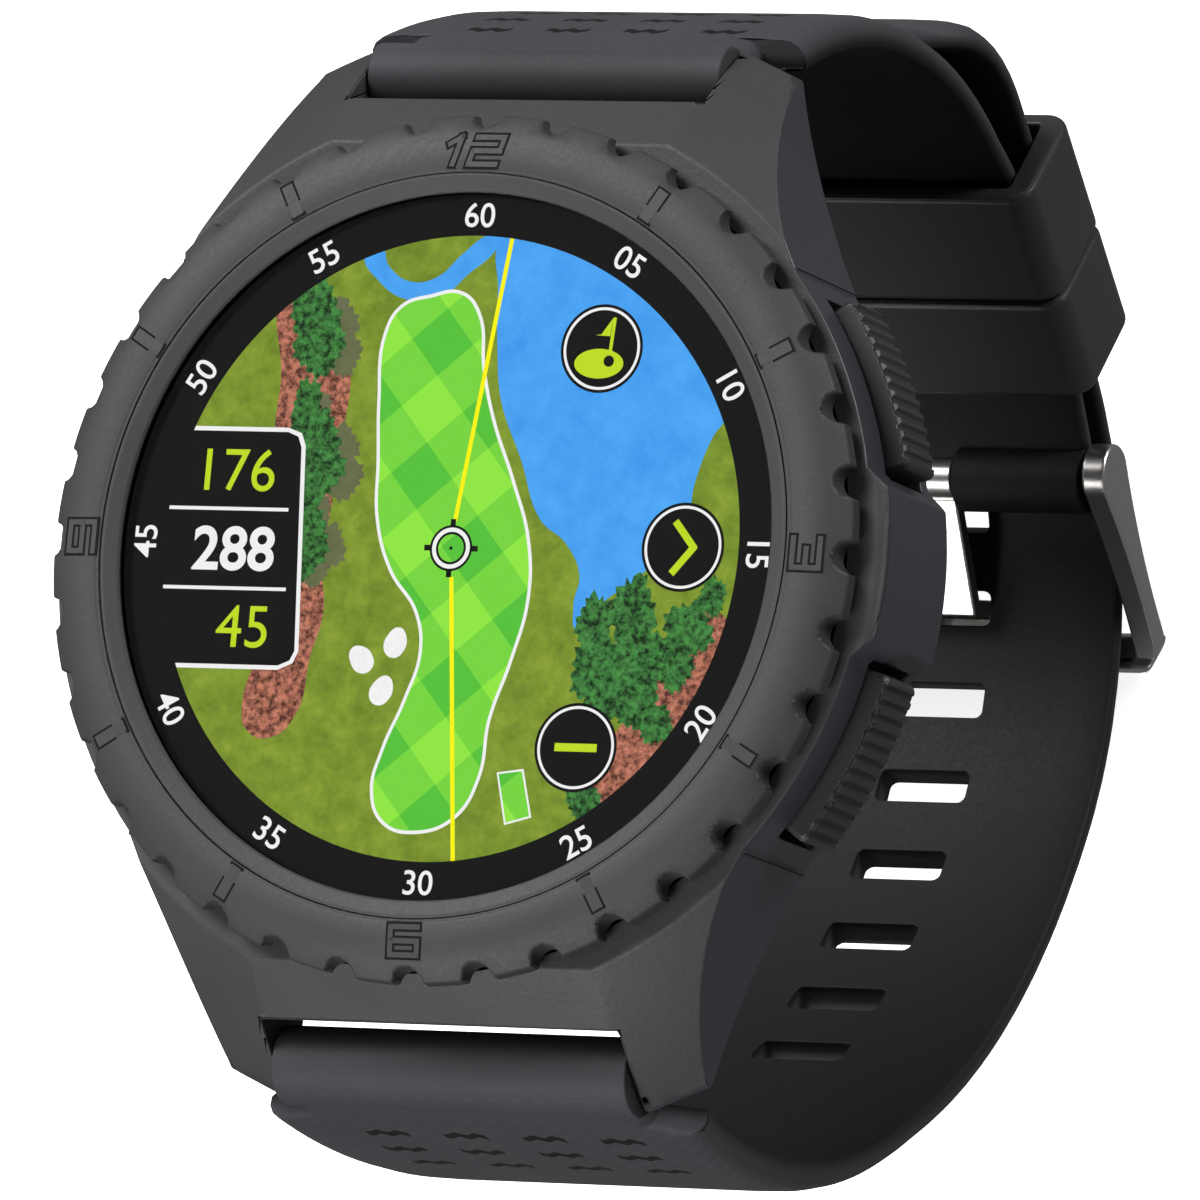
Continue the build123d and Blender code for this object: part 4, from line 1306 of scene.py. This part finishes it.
    def play_areas(self, art: Artwork, height: float) -> None:
        """The fairway and the tee box, each with a white line round it, and three bunkers.

        Args:
            art: Where they go.
            height: Height of the white lines' layer.
        """
        fairway = [
            (-5.1, 12.0), (-4.3, 13.5), (-2.6, 14.1), (-0.7, 14.3), (0.4, 13.2), (1.0, 10.1), (1.9, 7.2),
            (3.4, 3.9), (4.7, 0.5), (5.0, -2.8), (4.3, -6.2), (3.3, -9.6), (3.0, -12.8), (1.8, -15.0),
            (-0.5, -15.9), (-2.5, -15.4), (-3.3, -13.7), (-2.9, -11.5), (-1.8, -8.6), (-1.1, -5.9),
            (-1.6, -3.6), (-3.4, -1.3), (-4.5, 1.5), (-4.8, 4.9), (-5.1, 8.3),
        ]
        tee_box = [(4.3, -12.6), (5.7, -12.4), (6.4, -14.9), (5.0, -15.3)]
        bunker = [(-0.75, -0.2), (-0.3, -0.8), (0.4, -0.6), (0.75, 0.1), (0.5, 0.75), (-0.2, 0.65)]
        self.framed(art, fairway, SCREEN_FAIRWAY, 0.2, height)
        self.framed(art, tee_box, SCREEN_FAIRWAY, 0.16, height, smooth=False)
        for x, y, turn in ((-2.8, -5.4, 20), (-4.8, -6.4, 80), (-3.4, -8.1, 10)):
            art.add(Flat.outline(bunker), SCREEN_SAND, height, (x, y), turn)

    def framed(
        self,
        art: Artwork,
        points: list[tuple[float, float]],
        finish: object,
        line: float,
        height: float,
        smooth: bool = True,
    ) -> None:
        """A shape with a white line round it.

        Args:
            art: Where it goes.
            points: Its edge.
            finish: Its finish.
            line: Width of the line.
            height: Height of the line's layer.
            smooth: Whether its edge is a smooth curve.
        """
        art.add(Flat.outline(points, smooth), finish, height + self.layer)
        rim = Flat.outline(points, smooth)
        bm = bmesh.new()
        bm.from_mesh(rim)
        bmesh.ops.remove_doubles(bm, verts=bm.verts, dist=DRAWING_MERGE)
        bmesh.ops.recalc_face_normals(bm, faces=bm.faces)
        moves = []
        for vert in bm.verts:
            rims = [e for e in vert.link_edges if e.is_boundary]
            if not rims:
                continue
            out = Vector((0, 0, 0))
            for edge in rims:
                along = (edge.verts[1].co - edge.verts[0].co).normalized()
                side = Vector((along.y, -along.x, 0))
                middle = edge.link_faces[0].calc_center_median()
                if side.dot(middle - edge.verts[0].co) > 0:
                    side.negate()
                out += side
            moves.append((vert, out.normalized() * line))
        for vert, move in moves:
            vert.co += move
        bm.to_mesh(rim)
        bm.free()
        art.add(rim, SCREEN_WHITE_AND_PRINT_GLOW, height)

    def woods(self, art: Artwork, height: float) -> None:
        """Clumps of trees with a soft shadow to the right of each.

        Args:
            art: Where they go.
            height: Height of the shadows' layer.
        """
        left = [
            (-9.6, 12.9, 1.5, 2.1), (-9.2, 11.2, 1.5, 1.6), (-9.6, 7.8, 0.9, 1.6), (-9.0, 6.0, 1.6, 1.7),
            (-8.6, 4.3, 1.6, 1.7), (-9.3, 2.0, 1.0, 1.8), (-8.9, 0.3, 1.4, 1.8), (-9.2, -1.2, 1.0, 1.0),
        ]
        right = [
            (9.3, -4.0, 1.1, 1.6), (9.6, -6.6, 1.5, 1.8), (11.6, -3.6, 1.3, 2.4), (12.3, -6.0, 1.9, 1.9),
            (10.6, -8.0, 1.6, 1.4), (15.0, -4.3, 1.5, 1.6), (14.4, -6.4, 1.1, 1.3), (12.4, -8.6, 1.2, 1.4),
            (13.6, -9.6, 1.0, 1.1), (9.6, -13.9, 1.0, 1.1), (16.3, -2.4, 0.8, 1.1),
        ]
        for index, (x, y, half_w, half_h) in enumerate(left + right):
            if index < len(left):
                shadow = self.blob(half_w * 0.8, half_h * 0.75, index)
                art.add(shadow, SCREEN_SHADE, height, (x + half_w * 0.95, y - 0.4))
            clump = self.blob(half_w, half_h, index + 3)
            art.add(clump, SCREEN_LEAVES, height + self.layer * (1 + index % 2), (x, y))

    def blob(self, half_w: float, half_h: float, seed: int) -> bpy.types.Mesh:
        """A ragged round clump.

        Args:
            half_w: Half its width.
            half_h: Half its height.
            seed: Turns its ragged edge.

        Returns:
            A flat mesh.
        """
        bm = bmesh.new()
        bmesh.ops.create_circle(bm, cap_ends=True, segments=40, radius=1.0)
        for index, vert in enumerate(bm.verts):
            ragged = 1 + 0.13 * math.sin(index * 2.4 + seed) + 0.1 * math.sin(index * 5.7 + seed * 1.9)
            vert.co.x *= half_w * ragged
            vert.co.y *= half_h * ragged
        mesh = bpy.data.meshes.new("clump")
        bm.to_mesh(mesh)
        bm.free()
        return mesh

    def aim(self, art: Artwork, height: float) -> None:
        """The crosshair at the player's place.

        Args:
            art: Where it goes.
            height: Its layer's height.
        """
        art.add(Flat.disc(1.3, 0.78, 48), SCREEN_BLACK, height, (0.1, 0))
        for turn in (0, 90, 180, 270):
            mesh = Flat.stroke([(1.2, 0), (1.55, 0)], 0.32)
            art.add(mesh, SCREEN_BLACK, height, (0.1, 0), turn)
        art.add(Flat.disc(1.16, 0.92, 48), SCREEN_WHITE_AND_PRINT_GLOW, height + self.layer, (0.1, 0))
        art.add(Flat.disc(0.1, sides=16), SCREEN_BLACK, height + self.layer, (0.1, 0))

    def icons(self, art: Artwork, height: float) -> None:
        """Three round buttons: flag, next and minus.

        Args:
            art: Where they go.
            height: Their layer's height.
        """
        for place in ((8.2, 11.4), (14.25, 0.35), (8.85, -11.0)):
            art.add(Flat.disc(self.icon_radius, sides=64), SCREEN_BLACK, height, place)
            ring = Flat.disc(self.icon_radius - 0.17, self.icon_radius - 0.33, 64)
            art.add(ring, SCREEN_WHITE_AND_PRINT_GLOW, height + self.layer, place)
        level = height + self.layer
        green = Flat.disc(1.5, sides=48)
        green.transform(Matrix.Diagonal((1, 0.56, 1, 1)))
        art.add(green, SCREEN_LIME, level, (8.1, 10.55))
        art.add(Flat.stroke([(8.85, 13.1), (8.7, 10.7)], 0.2), SCREEN_LIME, level)
        pennant = Flat.outline([(8.75, 13.15), (8.1, 12.2), (7.75, 12.15), (8.65, 12.1)], smooth=False)
        art.add(pennant, SCREEN_LIME, level)
        art.add(Flat.disc(0.32, sides=24), SCREEN_BLACK, level + self.layer, (8.7, 10.7))
        art.add(Flat.stroke([(13.75, 1.7), (14.9, 0.35), (13.75, -1.05)], 0.42), SCREEN_LIME, level)
        art.add(Flat.stroke([(7.7, -11.0), (10.0, -11.0)], 0.46), SCREEN_LIME, level)

    def distances(self, art: Artwork, height: float) -> None:
        """The panel with three rows of numbers.

        Args:
            art: Where it goes.
            height: Its layer's height.
        """
        panel = [
            (-18.4, 6.6), (-10.6, 6.6), (-9.75, 6.3), (-9.45, 5.6), (-8.7, -6.0), (-9.0, -6.7),
            (-9.9, -7.1), (-18.4, -7.1),
        ]
        inner = [
            (-18.4, 6.35), (-10.6, 6.35), (-9.95, 6.1), (-9.7, 5.5), (-8.95, -6.0), (-9.2, -6.55),
            (-9.9, -6.85), (-18.4, -6.85),
        ]
        art.add(Flat.outline(panel, smooth=False), SCREEN_WHITE_AND_PRINT_GLOW, height)
        art.add(Flat.outline(inner, smooth=False), SCREEN_BLACK, height + self.layer)
        level = height + self.layer * 2
        rows = (
            ("176", 0.0, SCREEN_LIME, (-13.35, 4.15)),
            ("288", 0.07, SCREEN_WHITE_AND_PRINT_GLOW, (-13.3, -0.3)),
            ("45", 0.0, SCREEN_LIME, (-12.35, -4.7)),
        )
        for number, bold, finish, place in rows:
            art.add(Flat.text(number, self.number_height, bold), finish, level, place)
        for run in ([(-18.0, 1.95), (-10.2, 1.95)], [(-18.0, -2.55), (-9.9, -2.55)]):
            art.add(Flat.stroke(run, 0.2), SCREEN_WHITE_AND_PRINT_GLOW, level)


@dataclass
class SideButtons:
    """The two ribbed side buttons and the pieces behind them."""

    bench: Workbench
    edge: float = 0.07 * MM

    def build(self) -> None:
        """Builds both caps and dresses the rest."""
        for name in ("upper", "lower"):
            cap = self.bench.copy_node(f"{name}_button_cap")
            self.bench.piece(
                f"{name}_cap_ribbed",
                cap,
                [BUTTON_BLACK],
                f"{name}_button",
                (f"{name}_button_cap",),
                "button",
                self.edge,
            )
            self.bench.dress_node(f"{name}_button_stem", STEEL_SATIN)
            self.bench.dress_node(f"{name}_stem_clip", STEEL_SATIN)
            self.bench.dress_node(f"{name}_return_spring", STEEL_POLISHED)
            self.bench.dress_node(f"{name}_stem_seal", SEAL_RUBBER)
            self.bench.dress_node(f"{name}_switch", STEEL_SATIN)
            self.bench.dress_node(f"{name}_switch_plunger", INNER_PLASTIC)


@dataclass
class BackAndInside:
    """The back cover and everything inside the case."""

    bench: Workbench
    edge: float = 0.15 * MM

    def build(self) -> None:
        """Builds the back cover and dresses the inner pieces."""
        self.bench.piece(
            "back_cover_shell",
            self.bench.copy_node("back_cover"),
            [BACK_BLACK],
            stands_for=("back_cover",),
            slot="back_polymer",
            bevel=self.edge,
        )
        finishes = {
            STEEL_SATIN: ("back_cover_screws", "shield_can", "motor_can", "motor_base", "motor_rotor"),
            GOLD: ("charge_contacts",),
            SEAL_RUBBER: ("back_gasket", "glass_gasket"),
            INNER_PLASTIC: ("chassis",),
            CHIP_BLACK: ("processor_chip", "gnss_receiver_chip", "motion_sensor_chip", "display_connector"),
            BOARD_GREEN: ("main_board",),
            FLEX_AMBER: ("display_flex", "button_flex", "gnss_antenna"),
            FOIL: ("battery",),
        }
        for finish, nodes in finishes.items():
            for node in nodes:
                self.bench.dress_node(node, finish)
        for bar in ("twelve", "six", "buckle"):
            for part in ("bar_tube", "bar_spring", "bar_left_tip", "bar_right_tip"):
                self.bench.dress_node(f"{bar}_{part}", STEEL_SATIN)


# ---------------------------------------------------------------- strap


@dataclass
class StrapHalf:
    """One half of the silicone strap, swept along tangent arcs seen from 3 o'clock, in millimetres."""

    bench: Workbench
    name: str
    node: str
    start: tuple[float, float]
    heading: float
    turn: int
    runs: list[tuple[float, float]]
    thickness: float
    barrels: list[tuple[float, float, float, float]]
    slots: list[float] = field(default_factory=list)
    rounded_end: float = 0.0
    notch: float = 0.0
    neck: float = 10.9
    shoulder: float = 13.5
    narrow: float = 11.0
    shoulder_z: float = 1.4
    taper_z: float = -33.0
    slot_half: float = 2.85
    slot_long: float = 2.2
    slot_corner: float = 0.45
    steps: int = 90
    edge: float = 0.12

    def arcs(self) -> list[tuple[float, float, float, float, float, float]]:
        """The runs as arcs.

        Returns:
            Centre (two numbers), radius, first angle, signed sweep and length before it, of each run.
        """
        y, z = self.start
        heading, before, made = self.heading, 0.0, []
        for radius, sweep in self.runs:
            side = math.radians(heading + 90 * self.turn)
            cy, cz = y + radius * math.cos(side), z + radius * math.sin(side)
            first = heading - 90 * self.turn
            made.append((cy, cz, radius, first, self.turn * sweep, before))
            heading += self.turn * sweep
            last = math.radians(first + self.turn * sweep)
            y, z = cy + radius * math.cos(last), cz + radius * math.sin(last)
            before += radius * math.radians(sweep)
        return made

    def length(self) -> float:
        """Length along the outer side.

        Returns:
            The length.
        """
        return sum(radius * math.radians(sweep) for radius, sweep in self.runs)

    def half_width(self, s: float, z: float, tail: bool) -> float:
        """Half the strap's width.

        Args:
            s: Length along the strap.
            z: Height of the outer side there.
            tail: Whether it is past the buckle.

        Returns:
            Half the width.
        """
        if z > self.shoulder_z and not tail:
            return self.neck
        width = self.narrow
        if not tail and z > self.taper_z:
            width += (self.shoulder - self.narrow) * (z - self.taper_z) / (self.shoulder_z - self.taper_z)
        left = self.length() - s
        if self.rounded_end and left < self.rounded_end:
            reach = self.rounded_end - left
            width -= self.rounded_end - math.sqrt(max(0.0, self.rounded_end**2 - reach**2))
        return width

    def stations(self) -> list[float]:
        """Lengths at which the strap gets a cross-section.

        Returns:
            The lengths, in order.
        """
        total = self.length()
        marks = {round(total * i / self.steps, 4) for i in range(self.steps + 1)}
        for slot in self.slots:
            marks = {m for m in marks if abs(m - slot) > self.slot_long / 2 + 0.15}
            marks |= {slot - self.slot_long / 2, slot + self.slot_long / 2}
        if self.rounded_end:
            marks = {m for m in marks if m < total - self.rounded_end}
            shares = (1.0, 0.8, 0.6, 0.42, 0.27, 0.14, 0.05, 0.0)
            marks |= {total - self.rounded_end * share for share in shares}
        for _cy, _cz, _radius, _first, _sweep, before in self.arcs():
            marks.add(before)
        for s in (self.shoulder_s() - 0.02, self.shoulder_s() + 0.02):
            marks.add(s)
        ordered = sorted(marks)
        kept = [ordered[0]]
        for mark in ordered[1:]:
            if mark - kept[-1] > 0.03:
                kept.append(mark)
        return kept

    def shoulder_s(self) -> float:
        """Length at which the neck widens to the shoulder.

        Returns:
            The length.
        """
        for tenth in range(0, 400):
            s = tenth / 20
            if self.point(s)[1] < self.shoulder_z:
                return s
        return 4.0

    def point(self, s: float) -> tuple[float, float]:
        """Point of the outer side at a length.

        Args:
            s: Length along the strap.

        Returns:
            Its Y and Z.
        """
        for cy, cz, radius, first, sweep, before in reversed(self.arcs()):
            if s >= before - 1e-9:
                angle = math.radians(first) + math.copysign((s - before) / radius, sweep)
                return cy + radius * math.cos(angle), cz + radius * math.sin(angle)
        return self.start

    def section(self) -> list[tuple[float, float]]:
        """Half of the cross-section.

        Returns:
            Distance from the middle and depth below the outer side, of each point.
        """
        w, t = self.narrow, self.thickness
        return [
            (0.0, 0.0), (1.4, 0.0), (self.slot_half, 0.0), (w - 3.4, 0.0), (w - 1.6, 0.05),
            (w - 0.75, 0.22), (w - 0.25, 0.55), (w, 1.0), (w, t - 0.3), (w - 0.12, t - 0.1),
            (w - 0.4, t), (w - 2.2, t), (self.slot_half, t), (1.4, t), (0.0, t),
        ]

    def build(self) -> None:
        """Sweeps the strap, cuts its slots, adds its barrels and dresses it."""
        bm = bmesh.new()
        marks = self.stations()
        rings = self.sweep(bm, marks)
        self.shape_width(rings, marks)
        self.cut_slots(bm, rings, marks)
        open_edges = [e for e in bm.edges if e.is_boundary]
        bmesh.ops.holes_fill(bm, edges=open_edges, sides=0)
        bmesh.ops.recalc_face_normals(bm, faces=bm.faces)
        for y, z, radius, half in self.barrels:
            self.barrel(bm, y, z, radius, half)
        self.write_attribute(bm)
        self.bench.piece(
            self.name, bm, [STRAP_SILICONE], stands_for=(self.node,), slot="silicone", bevel=self.edge * MM
        )

    def sweep(self, bm: bmesh.types.BMesh, marks: list[float]) -> list[list[bmesh.types.BMVert]]:
        """Spins the cross-section from station to station.

        Args:
            bm: Where it goes.
            marks: The stations.

        Returns:
            The vertices of each cross-section, in order.
        """
        half = self.section()
        loop = half + [(-x, d) for x, d in reversed(half[1:-1])]
        cy, cz, radius, first, _sweep, _before = self.arcs()[0]
        out = Vector((0, math.cos(math.radians(first)), math.sin(math.radians(first))))
        centre = Vector((0, cy, cz))
        ring = [bm.verts.new((Vector((x, 0, 0)) + centre + out * (radius - d)) * MM) for x, d in loop]
        edges = [bm.edges.new((a, b)) for a, b in zip(ring, ring[1:] + ring[:1])]
        rings = [ring]
        for here, there in zip(marks, marks[1:]):
            middle = (here + there) / 2
            arc = [a for a in self.arcs() if a[5] <= middle][-1]
            result = bmesh.ops.spin(
                bm,
                geom=ring + edges,
                cent=(0, arc[0] * MM, arc[1] * MM),
                axis=(1, 0, 0),
                angle=math.copysign((there - here) / arc[2], arc[4]),
                steps=1,
                use_merge=False,
                use_duplicate=False,
            )
            ring = [g for g in result["geom_last"] if isinstance(g, bmesh.types.BMVert)]
            edges = [g for g in result["geom_last"] if isinstance(g, bmesh.types.BMEdge)]
            rings.append(ring)
        return rings

    def shape_width(self, rings: list[list[bmesh.types.BMVert]], marks: list[float]) -> None:
        """Moves the sides of each cross-section to the strap's width there.

        Args:
            rings: Vertices of each cross-section.
            marks: The stations.
        """
        lowest = min(range(len(marks)), key=lambda i: self.point(marks[i])[1])
        for index, (ring, s) in enumerate(zip(rings, marks)):
            tail = index > lowest and len(self.slots) > 0
            change = self.half_width(s, self.point(s)[1], tail) - self.narrow
            for vert in ring:
                if abs(vert.co.x) > 5 * MM:
                    vert.co.x += change * MM if vert.co.x > 0 else -change * MM

    def cut_slots(
        self, bm: bmesh.types.BMesh, rings: list[list[bmesh.types.BMVert]], marks: list[float]
    ) -> None:
        """Opens the slots and walls them.

        Args:
            bm: The strap.
            rings: Vertices of each cross-section.
            marks: The stations.
        """
        corners = []
        for slot in self.slots:
            pair = [i for i, m in enumerate(marks) if abs(abs(m - slot) - self.slot_long / 2) < 0.001]
            if len(pair) != 2:
                continue
            reach = (self.slot_half + 0.05) * MM
            inside = {v for ring in rings[pair[0] : pair[1] + 1] for v in ring if abs(v.co.x) < reach}
            doomed = [f for f in bm.faces if all(v in inside for v in f.verts)]
            bmesh.ops.delete(bm, geom=doomed, context="FACES")
            rim = [e for e in bm.edges if e.is_boundary and all(v in inside for v in e.verts)]
            made = bmesh.ops.bridge_loops(bm, edges=rim)
            for edge in made["edges"]:
                if all(abs(abs(vert.co.x) - self.slot_half * MM) < 0.001 * MM for vert in edge.verts):
                    corners.append(edge)
        if corners:
            bmesh.ops.bevel(
                bm,
                geom=corners,
                offset=self.slot_corner * MM,
                offset_type="OFFSET",
                segments=3,
                profile=0.5,
                affect="EDGES",
                material=-1,
            )

    def barrel(self, bm: bmesh.types.BMesh, y: float, z: float, radius: float, half: float) -> None:
        """A round end that wraps a spring bar.

        Args:
            bm: Where it goes.
            y: Its axis.
            z: Its axis.
            radius: Its radius.
            half: Half its length.
        """
        spans = [(-half, half)] if not self.notch or y > 20 else [(-half, -self.notch), (self.notch, half)]
        for low, high in spans:
            middle = Matrix.Translation(((low + high) / 2 * MM, y * MM, z * MM))
            bmesh.ops.create_cone(
                bm,
                cap_ends=True,
                segments=48,
                radius1=radius * MM,
                radius2=radius * MM,
                depth=(high - low) * MM,
                matrix=middle @ Matrix.Rotation(math.radians(90), 4, "Y"),
            )

    def write_attribute(self, bm: bmesh.types.BMesh) -> None:
        """Stores X, length along the strap and depth, in millimetres, for the finish to read.

        Args:
            bm: The strap.
        """
        layer = bm.verts.layers.float_vector.new("along_strap")
        arcs = self.arcs()
        for vert in bm.verts:
            y, z = vert.co.y / MM, vert.co.z / MM
            best = (9.0, 0.0, 1.0)
            for cy, cz, radius, first, sweep, before in arcs:
                angle = math.degrees(math.atan2(z - cz, y - cy))
                gone = ((angle - first) * math.copysign(1, sweep)) % 360
                if gone > abs(sweep) + 1 and gone < 359:
                    continue
                gone = 0.0 if gone >= 359 else gone
                depth = radius - math.hypot(y - cy, z - cz)
                if abs(depth - self.thickness / 2) < best[0]:
                    best = (abs(depth - self.thickness / 2), before + radius * math.radians(gone), depth)
            vert[layer] = (vert.co.x / MM, best[1], best[2])


@dataclass
class Strap:
    """Both strap halves, their keepers and the buckle."""

    bench: Workbench
    bar: tuple[float, float] = (28.2, 4.6)
    buckle: tuple[float, float] = (15.0, -49.4)
    tongue_station: float = 84.4
    slot_pitch: float = 5.95

    def build(self) -> None:
        """Builds the strap's pieces in order."""
        long_half = StrapHalf(
            self.bench,
            "strap_six_side",
            "long_strap",
            start=(-30.15, 5.1),
            heading=-105.4,
            turn=1,
            runs=[(54.6, 47.1), (44.1, 33.2), (23.6, 68.5), (178.0, 6.75), (11.2, 63.0)],
            thickness=1.8,
            barrels=[(-self.bar[0], self.bar[1], 2.25, 10.9)],
            slots=[self.tongue_station + self.slot_pitch * step for step in range(-6, 5)],
            rounded_end=4.5,
        )
        long_half.build()
        short_half = StrapHalf(
            self.bench,
            "strap_twelve_side",
            "short_strap",
            start=(29.5, 4.8),
            heading=-59.7,
            turn=-1,
            runs=[(44.4, 36.5), (35.8, 41.9), (81.5, 7.0)],
            thickness=2.0,
            barrels=[(*self.bar, 1.9, 10.9), (*self.buckle, 1.95, 11.0)],
            notch=2.9,
        )
        short_half.build()
        self.keepers()
        self.buckle_pieces()

    def keepers(self) -> None:
        """The fixed and the free keeper loop."""
        for node, body in (("keeper_fixed", "watch"), ("keeper_free", "keeper_free")):
            loop = self.bench.copy_node(node)
            self.bench.piece(
                f"{node}_loop", loop, [KEEPER_SATIN], body, (node,), "silicone", bevel=0.2 * MM, segments=3
            )

    def buckle_pieces(self) -> None:
        """The steel frame and tongue."""
        for node, edge, segments in (("buckle_frame", 0.22, 3), ("buckle_tongue", 0.15, 2)):
            metal = self.bench.copy_node(node)
            name, width = f"{node}_satin", edge * MM
            self.bench.piece(name, metal, [STEEL_SATIN], node, (node,), "steel", width, segments)


# ---------------------------------------------------------------- studio


@dataclass
class Studio:
    """Pale floor, soft lights and the camera."""

    floor_z: float
    place: tuple[float, float, float] = (0.43035, -0.14555, 0.9037)
    right: tuple[float, float, float] = (0.90600766, 0.0910112, -0.41336071)
    up: tuple[float, float, float] = (-0.02213987, 0.98546211, 0.16844658)
    lens: float = 540.27

    def build(self) -> None:
        """Sets up everything around the object."""
        bpy.context.scene.view_settings.view_transform = "Standard"
        self.floor()
        self.world()
        self.lights()
        self.camera()

    def floor(self) -> None:
        """A plain pale floor under the strap."""
        bm = bmesh.new()
        level = Matrix.Translation((0, 0, self.floor_z))
        bmesh.ops.create_grid(bm, x_segments=1, y_segments=1, size=3.0, matrix=level)
        mesh = bpy.data.meshes.new("floor")
        bm.to_mesh(mesh)
        bm.free()
        floor = bpy.data.objects.new("floor", mesh)
        bpy.context.scene.collection.objects.link(floor)
        material = bpy.data.materials.new("pale_floor")
        material.use_nodes = True
        shader = material.node_tree.nodes["Principled BSDF"]
        shader.inputs["Base Color"].default_value = (0.93, 0.93, 0.93, 1)
        shader.inputs["Roughness"].default_value = 0.9
        shader.inputs["Emission Color"].default_value = (1, 1, 1, 1)
        shader.inputs["Emission Strength"].default_value = 0.8
        mesh.materials.append(material)
        floor.visible_diffuse = False
        floor.visible_glossy = False
        floor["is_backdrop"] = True

    def world(self) -> None:
        """Even white surroundings."""
        world = bpy.data.worlds.new("studio")
        world.use_nodes = True
        world.node_tree.nodes["Background"].inputs["Color"].default_value = (1, 1, 1, 1)
        world.node_tree.nodes["Background"].inputs["Strength"].default_value = 0.16
        bpy.context.scene.world = world

    def lights(self) -> None:
        """Large soft lights: above on both sides of the strap, and a low one at the right."""
        self.area("key", (-0.5, 0.62, 0.75), 0.6, 14.0)
        self.area("front", (-0.22, -0.85, 0.7), 0.6, 12.5)
        self.area("rim", (0.8, 0.7, 0.12), 0.5, 9.0)

    def area(self, name: str, place: tuple[float, float, float], size: float, power: float) -> None:
        """One square soft light aimed at the watch.

        Args:
            name: Its name.
            place: Where it stands.
            size: Its side.
            power: Its power in watts.
        """
        light = bpy.data.lights.new(name, "AREA")
        light.size = size
        light.energy = power
        lamp = bpy.data.objects.new(name, light)
        lamp.location = place
        lamp.rotation_euler = (-Vector(place)).to_track_quat("-Z", "Y").to_euler()
        bpy.context.scene.collection.objects.link(lamp)

    def camera(self) -> None:
        """The long lens above and to the right."""
        data = bpy.data.cameras.new("camera")
        data.lens = self.lens
        data.sensor_width = 36.0
        data.clip_start = 0.05
        data.clip_end = 20.0
        camera = bpy.data.objects.new("camera", data)
        right, up = Vector(self.right), Vector(self.up)
        turn = Matrix((right, up, right.cross(up))).transposed().to_4x4()
        camera.matrix_world = Matrix.Translation(self.place) @ turn
        bpy.context.scene.collection.objects.link(camera)
        bpy.context.scene.camera = camera


def main() -> None:
    logging.basicConfig(level=logging.INFO, format="%(name)s %(message)s")
    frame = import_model()
    cad_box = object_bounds()
    bench = Workbench(frame, MaterialDesk(ShaderGroups()))
    for kind in (CaseBody, Bezel, Display, SideButtons, BackAndInside, Strap):
        part = kind(bench)
        part.build()
        LOG.info("%s built", type(part).__name__)
    Studio(cad_box[0].z).build()


if __name__ == "__main__":
    main()
